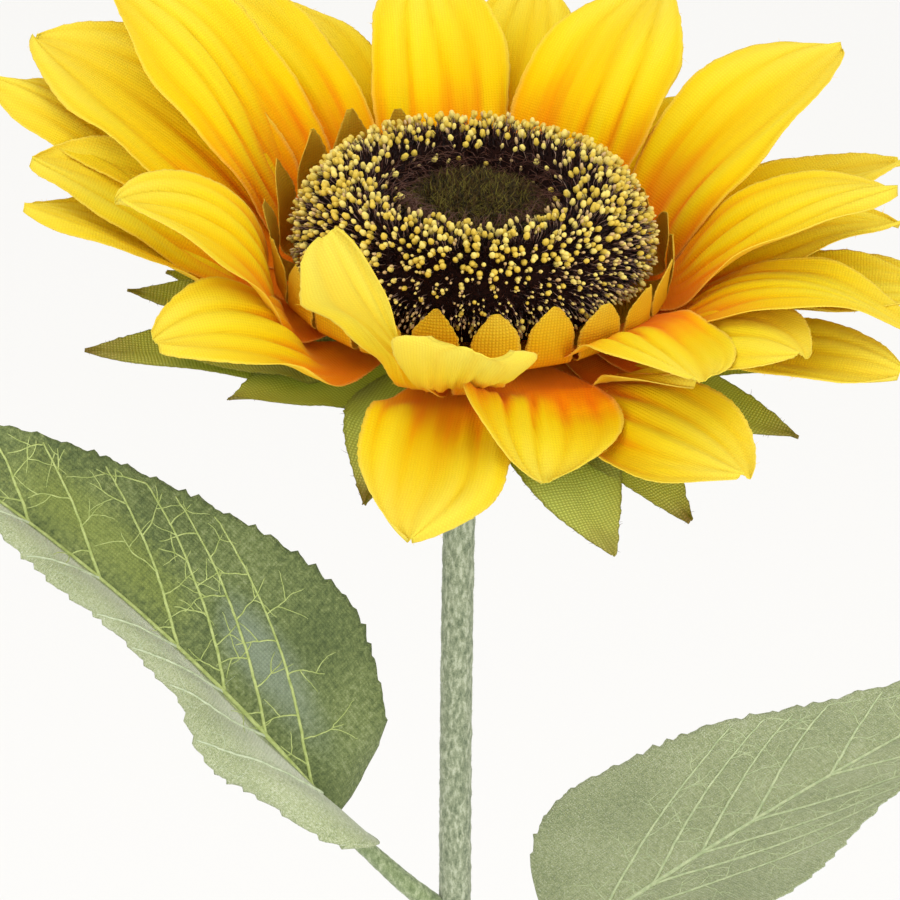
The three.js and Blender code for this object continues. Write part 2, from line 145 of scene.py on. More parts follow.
SEPALS = (
    sepal(20, 2, 0, -2, 70),
    sepal(46, 3, 0, 0, 68),
    sepal(72, 1, 0, -2, 70),
    sepal(98, 2, 0, -2, 70),
    sepal(124, 3, 0, 0, 68),
    sepal(147, 0, 2, -2, 70),
    sepal(168, 1, 16, -4, 63),
    sepal(177, 3, 12, -8, 69),
    sepal(190, 0, 5, 0, 79),
    sepal(197, 2, 9, 0, 62),
    sepal(213, 1, 5, 0, 53),
    sepal(251, 2, -12, -8, 60, claw=20),
    sepal(292, 3, -26, 14, 76),
    sepal(308, 1, -16, 0, 70),
    sepal(331, 2, -1, -4, 73),
    sepal(355, 1, 0, -2, 70),
)
INNER_COUNT = 22
INNER = {
    "start": 38.6, "level": -2.45, "run": 6.6, "lift": 7.5, "rise": 84, "width": 11.5, "claw": 9,
    "peak": 0.45, "notch": 0.05, "pinch": 0.25,
}
INNER_RING = ((14, -3), (38, -3), (40.5, -2.6), (40.5, -1.9), (38, -1.5), (14, -1.5))
LEAF = {
    "run": 0, "claw": 18, "cup": 6, "quick": 8, "peak": 0.22, "blunt": 1.4, "point": 1, "swell": 0.5,
}
LEAVES = {
    "left": {
        "foot": (-30, -8, 331), "at": 172, "length": 162, "width": 78, "rise": 52, "bend": -24,
        "roll": -29, "fold": 22, "curl": -75, "near_share": 0.48,
    },
    "right": {
        "foot": (28.5, 10, 290), "at": 28, "length": 150, "width": 84, "rise": 24, "bend": -10,
        "roll": 4, "fold": 8,
    },
}

# Section of the seed head, from its rim over the top and down into the hollow: radius and height.
SEED_SECTION = ((38, 2), (42, 4), (44, 10), (41.5, 18), (37, 24), (32, 27), (24, 26.5), (19, 24), (15, 19))
BRISTLE_LENGTH = 4.8
HOLLOW_FLOOR = 17
CENTRE_RADIUS = 16


def smooth(x):
    t = np.clip(x, 0, 1)
    return t * t * (3 - 2 * t)


def bell(x, middle, spread):
    """1 at the middle, and less and less to both sides."""
    return np.exp(-((x - middle) / spread) ** 2)


def unit(vectors):
    return vectors / np.maximum(np.linalg.norm(vectors, axis=-1, keepdims=True), 1e-9)


def summed(steps):
    """Running sums of steps, from 0 on."""
    return np.concatenate([np.zeros((1, *steps.shape[1:])), np.cumsum(steps, 0)])


def dice(*numbers):
    """A seeded source of random numbers, so that each piece is the same in every run."""
    return np.random.default_rng([17, *numbers])


def turned_axes(axes):
    return axes @ np.array(BLOOM_TURN).T


def in_bloom(points):
    return turned_axes(points) + np.array(BLOOM_PLACE)


def polar(radius, angle, height):
    return np.stack([radius * np.cos(angle), radius * np.sin(angle), height], -1)


def placed(part):
    """A part of the bloom with its points in the row frame."""
    return in_bloom(part[0]), *part[1:]


class Blade:
    """The middle surface of a petal, sepal or leaf, by the rule of the part's source."""

    def __init__(self, shape):
        self.__dict__.update(shape)
        count = 480
        self.marks = np.linspace(0, self.length, count + 1)
        step = self.length / count
        middle = self.direction(self.marks[:-1] + step / 2)
        if hasattr(self, "foot"):
            start = np.array(self.foot, float)
        else:
            start = polar(self.start, math.radians(self.at), self.level)
        self.line = start + summed(middle * step)

    def half_width(self, reach):
        claw_end = self.run * CLAW_SHARE_OF_RUN
        share = (reach - claw_end) / (self.length - claw_end)
        grown = np.sin(np.pi / 2 * np.clip(share / self.peak, 0, 1)) ** self.swell
        rest = np.clip((share - self.peak) / (1 - self.peak), 0, 1)
        rising = (self.claw + (self.width - self.claw) * grown) / 2
        falling = self.width / 2 * np.maximum(self.tip, (1 - rest ** self.blunt) ** self.point)
        return np.where(share < self.peak, rising, falling)

    def half(self, reach, across):
        """Half the width on the side where a point is: the near side has a share of its own."""
        return self.half_width(reach) * np.where(across >= 0, self.near_share, 1)

    def out(self, reach):
        return np.maximum(0, (reach - self.run) / (self.length - self.run))

    def heading(self, reach):
        veered = self.veer * smooth(reach / max(self.run, 1))
        return np.radians(self.at + veered + self.sweep * self.out(reach))

    def direction(self, reach):
        lifted = smooth((reach - self.run + LIFT_LEAD) / self.lift) if self.run > 0 else 1
        slope = np.radians(self.rise * lifted + self.bend * self.out(reach))
        return polar(np.cos(slope), self.heading(reach), np.sin(slope))

    def points(self, reach, across):
        """Points at distances along the blade and at shares of its half width, from -1 to 1."""
        reach, across = np.broadcast_arrays(reach, across)
        place = np.stack([np.interp(reach, self.marks, self.line[:, k]) for k in range(3)], -1)
        along = self.direction(reach)
        heading = self.heading(reach)
        flat = np.stack([-np.sin(heading), np.cos(heading), np.zeros(heading.shape)], -1)
        raised = np.cross(along, flat)
        out = self.out(reach)
        quick = smooth((out + 0.05) * self.quick)
        roll = np.radians(self.roll * quick + self.twist * out)[..., None]
        side = flat * np.cos(roll) + raised * np.sin(roll)
        up = raised * np.cos(roll) - flat * np.sin(roll)
        opened = smooth(out * 4) if self.run > 0 else quick
        steps = 16
        parts = (np.arange(steps) + 0.5) / steps
        at = np.abs(across)[..., None] * parts
        extra = np.where(across >= 0, self.curl, 0)[..., None] * smooth((at - 0.35) / 0.65)
        angle = np.radians(self.fold + self.cup * at + extra) * opened[..., None]
        sideways = np.cos(angle).mean(-1) * across
        upwards = np.sin(angle).mean(-1) * np.abs(across)
        half = self.half(reach, across)
        return place + side * (half * sideways)[..., None] + up * (half * upwards)[..., None]


def grid_normals(grid):
    normal = unit(np.cross(np.gradient(grid, axis=0), np.gradient(grid, axis=1)))
    normal[-2:] = normal[-3]
    return normal


def sheet(grid, thickness):
    """A closed cloth sheet round a grid of middle points: its points, four-sided and three-sided faces."""
    rows, columns = grid.shape[:2]
    lower = rows * columns
    corner = np.arange(lower).reshape(rows, columns)
    quads = np.stack([corner[:-1, :-1], corner[1:, :-1], corner[1:, 1:], corner[:-1, 1:]], -1)
    quads = quads.reshape(-1, 4)
    rim = np.concatenate([corner[:, 0], corner[-1, 1:], corner[-2::-1, -1], corner[0, -2:0:-1]])
    following = np.roll(rim, -1)
    wall = np.stack([rim, rim + lower, following + lower, following], -1)
    outwards = grid_normals(grid) * thickness / 2
    points = np.concatenate([(grid + outwards).reshape(-1, 3), (grid - outwards).reshape(-1, 3)])
    return points, np.concatenate([quads, quads[:, ::-1] + lower, wall]), np.zeros((0, 3), int)


def ring_faces(rings, sides):
    """Faces of a closed tube of rings, with a fan on a middle point at each end."""
    corner = np.arange(rings * sides).reshape(rings, sides)
    turned_on = np.roll(corner, -1, 1)
    quads = np.stack([corner[:-1], turned_on[:-1], turned_on[1:], corner[1:]], -1).reshape(-1, 4)
    foot = np.full(sides, rings * sides)
    first = np.stack([foot, turned_on[0], corner[0]], -1)
    last = np.stack([foot + 1, corner[-1], turned_on[-1]], -1)
    return quads, np.concatenate([first, last])


def round_angles(sides):
    return 2 * np.pi * np.arange(sides) / sides


def circles(first, second, sides):
    """Rings of radius 1 round many axes, from two directions across each axis."""
    angle = round_angles(sides)[None, :, None]
    return first[:, None] * np.cos(angle) + second[:, None] * np.sin(angle)


def turned(section, sides, relief=None):
    """A turned solid about Z from a section of radius and height, bottom first."""
    section = np.array(section, float)
    angle = round_angles(sides)
    radius = np.repeat(section[:, :1], sides, 1)
    height = np.repeat(section[:, 1:], sides, 1)
    if relief:
        radius = radius + relief(height, angle)
    rings = polar(radius, angle, height)
    middles = [(0, 0, section[0, 1]), (0, 0, section[-1, 1])]
    quads, tris = ring_faces(len(section), sides)
    return np.concatenate([rings.reshape(-1, 3), middles]), quads, tris


def tube(line, radii, sides, relief=0):
    """A round limb along a line of points."""
    along = unit(np.gradient(line, axis=0))
    across = unit(np.cross(np.array((0.03, 1, 0.02)), along))
    radius = radii[:, None] + relief
    rings = line[:, None] + circles(across, np.cross(along, across), sides) * radius[..., None]
    quads, tris = ring_faces(len(line), sides)
    return np.concatenate([rings.reshape(-1, 3), line[:1], line[-1:]]), quads, tris


def joined(parts):
    """One part of many, in their order."""
    points, quads, tris = zip(*parts)
    bases = np.cumsum([0, *map(len, points)])
    every = [np.concatenate([face + base for face, base in zip(faces, bases)]) for faces in (quads, tris)]
    return np.concatenate(points), *every


def cross_directions(axis):
    helper = np.where(np.abs(axis[:, 2:]) < 0.8, (0, 0, 1.0), (1.0, 0, 0))
    first = unit(np.cross(axis, helper))
    return first, np.cross(axis, first)


def repeated(points, quads, tris):
    """A part of many like forms, from the points of each and the faces of one."""
    count, size = points.shape[:2]
    base = (np.arange(count) * size)[:, None]
    every = [np.concatenate([base + np.array(face) for face in faces]) for faces in (quads, tris)]
    return points.reshape(-1, 3), *every


def fibres(roots, tips, radius, bow=0):
    """Many thin closed fibres that taper to a point. bow moves the middle of each one aside."""
    radius = np.broadcast_to(radius, (len(roots),))[:, None, None]
    ring = circles(*cross_directions(unit(tips - roots)), 3)
    middles = (roots + tips) / 2 + bow
    rings = [roots[:, None] + ring * radius, middles[:, None] + ring * (radius * 0.75), tips[:, None]]
    quads = ((0, 1, 4, 3), (1, 2, 5, 4), (2, 0, 3, 5))
    tris = ((3, 4, 6), (4, 5, 6), (5, 3, 6), (0, 2, 1))
    return repeated(np.concatenate(rings, 1), quads, tris)


def beads(middles, axes, radii, stretch):
    """Many small egg-shaped beads, longer along their axes by their stretch."""
    sides = 7
    ring = circles(*cross_directions(axes), sides)
    layers = []
    for lean in (-0.8, -0.1, 0.7):
        turn = lean * math.pi / 2 * 0.8
        layer = middles[:, None] + ring * (radii * math.cos(turn))[:, None, None]
        layers.append(layer + (axes * (radii * stretch * math.sin(turn))[:, None])[:, None])
    for way in (-1, 1):
        layers.append((middles + axes * (radii * stretch * way)[:, None])[:, None])
    low, middle, high, end = (sides * number for number in range(4))
    quads, tris = [], []
    for s in range(sides):
        t = (s + 1) % sides
        quads += [(low + s, low + t, middle + t, middle + s), (middle + s, middle + t, high + t, high + s)]
        tris += [(end, t, s), (end + 1, high + s, high + t)]
    return repeated(np.concatenate(layers, 1), quads, tris)


def shown(name, data):
    """A new object of the scene."""
    made = bpy.data.objects.new(name, data)
    bpy.context.scene.collection.objects.link(made)
    return made


def piece(name, part, finish, slot, replaces=(), thread=None, tone=None):
    """A finished piece. thread is its cloth coordinates in metres, and tone the four shares of its cloth."""
    points, quads, tris = part
    mesh = bpy.data.meshes.new(name)
    corners = np.concatenate([quads.ravel(), tris.ravel()]).astype(np.int32)
    sizes = np.concatenate([np.full(len(quads), 4), np.full(len(tris), 3)])
    starts = np.concatenate([[0], np.cumsum(sizes)[:-1]]).astype(np.int32)
    mesh.vertices.add(len(points))
    mesh.vertices.foreach_set("co", (points * MM).astype(np.float32).ravel())
    mesh.loops.add(len(corners))
    mesh.loops.foreach_set("vertex_index", corners)
    mesh.polygons.add(len(sizes))
    mesh.polygons.foreach_set("loop_start", starts)
    mesh.update(calc_edges=True)
    mesh.validate()
    mesh.polygons.foreach_set("use_smooth", np.ones(len(sizes), bool))
    if thread is not None:
        layer = mesh.uv_layers.new(name="thread")
        layer.data.foreach_set("uv", thread[corners].astype(np.float32).ravel())
    if tone is not None:
        attribute = mesh.attributes.new("tone", "FLOAT_COLOR", "POINT")
        attribute.data.foreach_set("color", tone.astype(np.float32).ravel())
    return settled(name, mesh, finish, slot, replaces)


def settled(name, mesh, finish, slot, replaces=()):
    made = shown(name, mesh)
    mesh.materials.clear()
    mesh.materials.append(finish)
    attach(made, "root")
    if replaces:
        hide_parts(*replaces)
    return made


# Finishes


def ink(code):
    """A linear colour from a six-digit colour code."""
    shares = [int(code[k:k + 2], 16) / 255 for k in (0, 2, 4)]
    linear = [s / 12.92 if s <= 0.04045 else ((s + 0.055) / 1.055) ** 2.4 for s in shares]
    return (*linear, 1.0)


def set_stops(ramp, stops):
    """Sets a colour ramp to its colour codes by position."""
    while len(ramp.elements) < len(stops):
        ramp.elements.new(1.0)
    for element, (position, code) in zip(ramp.elements, sorted(stops.items())):
        element.position = position
        element.color = ink(code)


def new_node(tree, kind, settings=None, sockets=None):
    """One node: its settings first, then the numbers, colour codes or links of its sockets."""
    node = tree.nodes.new(kind)
    for setting, choice in (settings or {}).items():
        if setting == "stops":
            set_stops(node.color_ramp, choice)
        else:
            setattr(node, setting, choice)
    for socket, given in (sockets or {}).items():
        if isinstance(given, Value):
            given = given.socket
        if isinstance(given, bpy.types.NodeSocket):
            tree.links.new(given, node.inputs[socket])
        else:
            node.inputs[socket].default_value = ink(given) if isinstance(given, str) else given
    return node


class Value:
    """A number that a node gives. An operator on it adds a Math node to the same finish."""

    def __init__(self, finish, socket):
        self.finish = finish
        self.socket = socket

    def math(self, operation, *numbers):
        return self.finish.add("ShaderNodeMath", {"operation": operation}, dict(enumerate(numbers)))

    def __add__(self, other):
        return self.math("ADD", self, other)

    def __sub__(self, other):
        return self.math("SUBTRACT", self, other)

    def __rsub__(self, other):
        return self.math("SUBTRACT", other, self)

    def __mul__(self, other):
        return self.math("MULTIPLY", self, other)

    __radd__ = __add__
    __rmul__ = __mul__

    def sine(self):
        return self.math("SINE", self)

    def size(self):
        return self.math("ABSOLUTE", self)

    def step(self, low, high):
        """A soft step from 0 at low to 1 at high."""
        ranges = {"Value": self, "From Min": low, "From Max": high}
        return self.finish.add("ShaderNodeMapRange", {"interpolation_type": "SMOOTHSTEP"}, ranges)


class Finish:
    """A material and its nodes. steady holds the numbers that are the same all over the surface."""

    def __init__(self, name, **steady):
        self.material = bpy.data.materials.new(name)
        self.material.use_nodes = True
        self.tree = self.material.node_tree
        self.tree.nodes.clear()
        self.shader = self.tree.nodes.new("ShaderNodeBsdfPrincipled")
        self.output = self.tree.nodes.new("ShaderNodeOutputMaterial")
        self.tree.links.new(self.shader.outputs[0], self.output.inputs[0])
        for word, number in steady.items():
            socket = word.replace("_", " ").title().replace("Ior", "IOR")
            self.shader.inputs[socket].default_value = number

    def add(self, kind, settings=None, sockets=None, output=0):
        return Value(self, new_node(self.tree, kind, settings, sockets).outputs[output])

    def let_through(self, share, colour):
        """Lets a share of the light from behind through the cloth, in one colour."""
        through = self.add("ShaderNodeBsdfTranslucent", {}, {"Color": colour})
        mixed = self.add("ShaderNodeMixShader", {}, {0: share, 1: self.shader.outputs[0], 2: through})
        self.tree.links.new(mixed.socket, self.output.inputs[0])

    def done(self, colour, height, distance, strength):
        """Gives the shader its colour and relief, and hands over the material."""
        sockets = {"Strength": strength, "Distance": distance, "Height": height}
        normal = self.add("ShaderNodeBump", {}, sockets)
        self.tree.links.new(colour.socket, self.shader.inputs["Base Color"])
        self.tree.links.new(normal.socket, self.shader.inputs["Normal"])
        return self.material

    def place(self):
        return self.add("ShaderNodeTexCoord", output="Object")

    def thread(self):
        """The cloth's own coordinates."""
        return self.add("ShaderNodeUVMap", {"uv_map": "thread"})

    def scaled(self, vector, factors):
        return self.add("ShaderNodeVectorMath", {"operation": "MULTIPLY"}, {0: vector, 1: factors})

    def noise(self, vector, scale, detail=2.0, roughness=0.5):
        sockets = {"Vector": vector, "Scale": scale, "Detail": detail, "Roughness": roughness}
        return self.add("ShaderNodeTexNoise", {}, sockets)

    def streaks(self, across, along, detail=2.0):
        """Noise on the cloth that is finer across the blade than along it."""
        return self.noise(self.scaled(self.thread(), (across, along, 1)), 1.0, detail)

    def ramp(self, number, stops):
        return self.add("ShaderNodeValToRGB", {"stops": stops}, {0: number})

    def blend(self, factor, first, second, how="MIX"):
        settings = {"data_type": "RGBA", "blend_type": how}
        return self.add("ShaderNodeMix", settings, {0: factor, 6: first, 7: second}, output=2)

    def layered(self, colour, *layers):
        """A colour with others laid over it in turn, each by its share."""
        for share, over in layers:
            colour = self.blend(share, colour, over)
        return colour

    def parts(self, vector):
        """The three numbers of a vector."""
        node = new_node(self.tree, "ShaderNodeSeparateXYZ", {}, {0: vector})
        return [Value(self, output) for output in node.outputs]

    def tones(self):
        """The four shares of a cloth point: out along the blade, margin, underside and relief."""
        outputs = new_node(self.tree, "ShaderNodeAttribute", {"attribute_name": "tone"}).outputs
        return [*self.parts(outputs["Vector"]), Value(self, outputs["Alpha"])]

    def weave(self, pitch):
        """Height of a plain weave on the cloth: 1 on the crown of a thread, 0 between."""
        thread = self.thread()
        moved = (self.noise(thread, 180, 1) - 0.5) * THREAD_WANDER
        x, y, _ = self.parts(thread)
        turn = math.pi / (pitch * MM)
        return ((x + moved) * turn).sine().size() * ((y + moved) * turn).sine().size()

    def woven(self, colour, pitch, share, between, depth, strength, grain=None):
        """Lays the weave over a colour with painted shade, of the colour between, in the gaps between the
        threads, and hands over the material.
        """
        height = self.weave(pitch)
        # Painted shade: the colour is darkened towards between where the threads dip.
        colour = self.blend((1 - height) * share, colour, between, "MULTIPLY")
        return self.done(colour, height if grain is None else height + grain, depth, strength)


def petal_finish():
    finish = Finish("petal_cloth_woven", roughness=0.9, specular_ior_level=0.08, sheen_weight=0.03)
    finish.let_through(0.26, "ffdc10")
    out, margin, under, pleat = finish.tones()
    # Painted light and shade of the pleats: their height moves the colour, paler on the crests and more
    # orange in the valleys.
    shade = out + (finish.streaks(420, 24) - 0.5) * 0.26 + (pleat - 0.45) * 0.32
    face = finish.ramp(shade, {
        0: "fa8600", 0.13: "f89200", 0.27: "f6b400", 0.42: "f3d404", 0.66: "f0df26", 1: "ece04c",
    })
    back = finish.ramp(shade, {0: "f8a400", 0.2: "f5ce08", 0.5: "f2e436", 1: "efe85c"})
    colour = finish.layered(face, (under, back), (margin.step(0.93, 1) * 0.25, "fdea80"))
    # Painted shade: the valleys of the pleats are darkened towards a deep orange.
    colour = finish.blend((0.7 - pleat).step(0, 0.7) * 0.26, colour, "eaa400", "MULTIPLY")
    return finish.woven(colour, 0.7, 0.18, "d49600", 0.00013, 0.8)


def inner_finish():
    finish = Finish("inner_cloth_woven", roughness=0.9, specular_ior_level=0.1)
    finish.let_through(0.3, "ffc000")
    out, margin, under, _ = finish.tones()
    shade = out + (finish.streaks(300, 120) - 0.5) * 0.4
    face = finish.ramp(shade, {0: "f4a408", 0.3: "f6c014", 0.65: "f6ce28", 1: "f4d640"})
    # Painted shade: the inside of the inner petals is darker and more olive than their face.
    inside = finish.ramp(shade, {0: "a87c04", 0.5: "b09a1a", 1: "b4a62e"})
    colour = finish.layered(inside, (under, face), (margin.step(0.84, 1) * 0.4, "f4d458"))
    return finish.woven(colour, 0.8, 0.34, "a86a00", 0.00018, 0.9)


def sepal_finish():
    finish = Finish("sepal_cloth_woven", roughness=0.88, specular_ior_level=0.1)
    finish.let_through(0.4, "d4d840")
    out, margin, under, _ = finish.tones()
    shade = out + (finish.streaks(160, 70, 3.0) - 0.5) * 0.4
    face = finish.ramp(shade, {0: "ccdc6a", 0.4: "d6e274", 0.75: "dcda72", 0.92: "c4b46a", 1: "8e6a44"})
    back = finish.ramp(shade, {0: "a4b05e", 0.75: "b4b46a", 1: "9a8458"})
    colour = finish.layered(face, (under, back), (margin.step(0.9, 1) * 0.45, "745832"))
    return finish.woven(colour, 0.78, 0.62, "4c5610", 0.0002, 1.0)


def leaf_finish():
    """Cloth of the leaves. Its first tone is grey bloom, or fresh green below 0, and its last is paleness."""
    finish = Finish("leaf_cloth_woven", roughness=0.88, specular_ior_level=0.15, sheen_weight=0.12)
    finish.let_through(0.15, "9cae54")
    grey, margin, under, pale = finish.tones()
    thread = finish.thread()
    mottle = finish.noise(thread, 760, 4.0, 0.7)
    grain = finish.noise(thread, 2400)
    patches = mottle + (finish.noise(thread, 42) - 0.5) * 0.5
    face = finish.ramp(patches, {0.3: "56633f", 0.44: "6b784c", 0.56: "7f8b58", 0.7: "98a272"})
    light = finish.ramp(patches, {0.3: "a4ae84", 0.5: "bcc498", 0.7: "d2d8b4"})
    # Painted highlight: the pale half is lighter along the fold, towards f0f2e4.
    fold = (0.8 - margin).step(0, 0.8) * pale.step(0.88, 0.95) * 0.75
    colour = finish.layered(
        face,
        ((grey + (mottle - 0.5) * 0.8).step(0.2, 1.1) * 0.8, "94a08e"),
        ((mottle * 1.6 - grey - 0.8).step(0.1, 1.2) * 0.6, "97a350"),
        (pale, finish.blend(fold, light, "f0f2e4")),
        (under * 0.7, "a9b39c"),
        (grain.step(0.56, 0.66) * pale * 0.6, "e6ead8"),
        ((1 - grain).step(0.52, 0.62) * pale * margin * 0.6, "75865c"),
    )
    return finish.woven(colour, 0.74, 0.22, "5a6a48", 0.00016, 0.8, grain)


def flock_finish(name, dark, middle, light):
    finish = Finish(name, roughness=0.95, sheen_weight=0.2, sheen_roughness=0.6)
    place = finish.place()
    mottle = finish.noise(finish.scaled(place, (1, 1, 0.45)), 900, 4.0, 0.65)
    grain = finish.noise(place, 4200)
    colour = finish.ramp(mottle + (grain - 0.5) * 0.35, {0.33: dark, 0.5: middle, 0.66: light})
    return finish.done(colour, grain + mottle, 0.00025, 0.9)


def plain_fibre(name, code, spread, roughness):
    """One base colour, a little uneven at the scale of a single fibre."""
    finish = Finish(name, roughness=roughness, specular_ior_level=0.25)
    grain = finish.noise(finish.place(), 2600)
    return finish.done(finish.blend((grain - 0.4) * 0.6, code, spread), grain, 0.00005, 0.4)


def mottled(finish, noise, stops, depth, strength=1.0):
    """Closes a finish with one noise for its colour and its relief. noise is its scale, detail, roughness."""
    mottle = finish.noise(finish.place(), *noise)
    return finish.done(finish.ramp(mottle, stops), mottle, depth, strength)


# Cloth blades


def blade_grid(blade, random, rows, columns, relief, ragged):
    """Grid of a blade's middle surface with its relief and its ragged margin."""
    reach = np.linspace(0, blade.length, rows + 1)[:, None]
    flat = np.linspace(-1, 1, columns)[None, :]
    share = reach / blade.length
    half = blade.half(reach, flat)
    cut = ragged(reach, flat, random) / np.maximum(half, 3)
    aside = flat * half / (blade.width / 2)
    wave = 0.5 + 0.5 * np.sin(4.4 * aside + random.uniform(0, 2 * np.pi))
    drawn_in = 1 - blade.notch * wave * share ** 8
    pinched = flat * (1 - blade.pinch * smooth((share - 0.68) / 0.32))
    waist = 1 - blade.waist * np.clip(1 - blade.out(reach), 0, 1)
    corner = 1 + blade.corner * bell(share, 0.78, 0.08)
    shaped = np.where(flat < 0, pinched * waist * corner, pinched)
    grid = blade.points(reach * drawn_in, shaped + np.sign(flat) * np.abs(flat) ** 8 * cut)
    hooked = blade.hook * smooth((share - 0.66) / 0.34) ** 1.5
    grid = grid + unit(grid[:, -1:] - grid[:, :1]) * hooked[..., None]
    grid[..., 2] += blade.arch * bell(share, 0.48, 0.2)
    facing = grid_normals(blade.points(reach, flat))
    held = int(rows * HELD_SHARE)
    facing[held:] = facing[held]
    offset, height = relief(blade, reach, flat, random)
    return Cloth(blade, grid + facing * offset[..., None], reach, flat, height)


class Cloth:
    """A blade's grid with what its finish needs: thread coordinates and tones."""

    def __init__(self, blade, grid, reach, flat, height):
        self.blade = blade
        self.grid = grid
        self.reach, self.flat = reach, flat
        self.height = np.broadcast_to(height, grid.shape[:2])

    def part(self, thickness, bloom=True):
        part = sheet(self.grid, thickness)
        return placed(part) if bloom else part

    def thread(self):
        x, y = np.broadcast_arrays(self.flat * self.blade.half_width(self.reach), self.reach)
        return np.tile(np.stack([x, y], -1).reshape(-1, 2) * MM, (2, 1))

    def tone(self, chance=0.0):
        out, margin = np.broadcast_arrays(self.blade.out(self.reach) + chance, np.abs(self.flat))
        one = np.stack([out, margin, np.zeros(out.shape), self.height], -1).reshape(-1, 4)
        both = np.tile(one, (2, 1))
        both[len(one):, 2] = 1
        return both


def pleats(depth, flutter, ridges):
    """Relief of a pressed petal: lengthwise pleats that meet at both ends, and a wavy margin."""
    def relief(blade, reach, flat, random):
        turn = random.uniform(0, 2 * np.pi, 10)
        out = np.clip(blade.out(reach), 0, 1)
        drift = flat + 0.1 * np.sin(reach / 15 + turn[0]) * (1 - np.abs(flat)) + 0.05 * np.sin(turn[1])
        crest = np.abs(np.sin(np.pi / 2 * ridges * drift)) ** 0.7
        uneven = 0.66 + 0.34 * np.sin(3.7 * flat + reach / 21 + turn[2])
        fine = 0.6 + 0.4 * np.sin(reach / 7 + turn[8])
        fine = 0.2 * np.cos(np.pi * ridges * 1.9 * drift + turn[3]) * fine
        window = smooth(out * 5) * (1 - 0.6 * out ** 1.6) * (1 - flat ** 6)
        side = (flat > 0) * turn[5]
        waves = np.sin(reach / 9.5 + turn[4] + side) + 0.3 * np.sin(reach / 3.6 + turn[6] + side)
        margin = np.abs(flat) ** 2.4 * waves * smooth(out * 2.5)
        swell = 0.8 * np.sin(2.2 * flat + reach / 13 + turn[9]) * smooth(out * 3) * (1 - flat ** 4)
        lip = 1.2 * np.sin(turn[7]) * smooth((out - 0.55) / 0.45)
        tucked = blade.tuck * smooth(-1.6 * flat - 0.1) * (1 - smooth(out * 1.6 - 0.45))
        height = depth * ((crest * uneven - 0.5 + fine) * window + swell) + flutter * margin + lip - tucked
        # The second value is the pleats' height as a share. The petal's finish turns it into painted light on
        # the crests and painted shade in the valleys.
        return height, crest * uneven * window + 0.45 * (1 - window)
    return relief


def frayed(depth, swing=0.0):
    """A cut cloth margin: a little wavy, and a thread out of line here and there."""
    def ragged(reach, flat, random):
        share = reach / reach.max()
        side = np.where(flat > 0, 1, -1)
        turn = random.uniform(0, 2 * np.pi, 3)
        out_of_line = random.uniform(-1, 1, reach.shape) * side * (0.6 + 0.5 * share)
        long_wave = np.sin(reach / 10 + turn[0] + side * turn[1]) + 0.4 * np.sin(reach / 4.1 + turn[2] * side)
        return depth * out_of_line + swing * long_wave * smooth(share * 4 - 1)
    return ragged


def toothed(pitch, height, fray):
    """Hooked teeth of uneven size that point to the tip, with a frayed cut between them."""
    def ragged(reach, flat, random):
        count = int(reach.max() / pitch * 1.6) + 3
        marks = np.cumsum(random.uniform(0.55, 1.45, count)) * pitch - pitch * 2
        tall = random.uniform(0.35, 1.25, count)
        place = reach + np.where(flat > 0, 0.4 * pitch, 0)
        after = np.clip(np.searchsorted(marks, place), 1, count - 1)
        rise = np.clip((place - marks[after - 1]) / (marks[after] - marks[after - 1]), 0, 1)
        ended = smooth((1 - reach / reach.max()) * 9)
        return height * tall[after] * (rise ** 1.4 - 0.3) * ended + fray * random.uniform(-1, 1, reach.shape)
    return ragged


def margin_hairs(grid, random, count, longest):
    """Roots and tips of loose threads along both margins of a grid."""
    rows = random.integers(grid.shape[0] // 4, grid.shape[0], count)
    left = (random.random(count) < 0.5)[:, None]
    root = np.where(left, grid[rows, 0], grid[rows, -1])
    away = unit(root - np.where(left, grid[rows, 1], grid[rows, -2]))
    way = away + random.normal(0, 0.55, (count, 3))
    length = random.uniform(0.25, 1, count) ** 2 * longest
    return root - away * 0.15, root + way * length[:, None]


def make_blades(word, rows, seed, finish, size, relief, ragged, chance, hairs, codes):
    """One kind of blade in the bloom, each a piece of its own, and their loose threads as one more.

    size is the rows and columns of a grid, and hairs the count, longest length and radius of the threads.
    """
    count, longest, radius = hairs
    threads = []
    for index, row in enumerate(rows):
        blade = Blade(row)
        random = dice(seed, index)
        cloth = blade_grid(blade, random, *size, relief(random), ragged)
        name = f"{word}_{index + 1:02d}"
        # A petal's own lift of its colours towards the tip is painted light on a shaded base.
        tone = cloth.tone(random.uniform(-chance, chance) + blade.ripe)
        part = cloth.part(CLOTH_THICKNESS)
        piece(f"{name}_cloth", part, finish, f"{word}_cloth", [name], cloth.thread(), tone)
        roots, tips = margin_hairs(cloth.grid, random, count, longest)
        threads.append(fibres(in_bloom(roots), in_bloom(tips), radius))
    loose = plain_fibre(f"{word}_thread", *codes, 0.8)
    piece(f"{word}_loose_threads", joined(threads), loose, f"{word}_cloth")


def make_petals():
    make_blades(
        "petal", PETALS, seed=1, finish=petal_finish(), size=(92, 35),
        relief=lambda random: pleats(1.6, 1.25, random.uniform(3.8, 5.6)),
        ragged=frayed(0.18, 0.55), chance=0.05, hairs=(40, 1.1, 0.045), codes=("f3c81c", "fbe57a"),
    )


def creased(blade, reach, flat, random):
    """Relief of a sepal: a crease along its middle and a wavy margin."""
    turn = random.uniform(0, 2 * np.pi, 2)
    out = np.clip(blade.out(reach), 0, 1)
    crease = -0.5 * bell(flat, 0, 0.1) * (1 - out)
    waves = 0.6 * np.abs(flat) ** 2 * np.sin(reach / 6 + turn[0] + (flat > 0) * 2)
    return (crease + waves + 0.25 * np.cos(5 * flat + turn[1])) * smooth(out * 4), 0.5


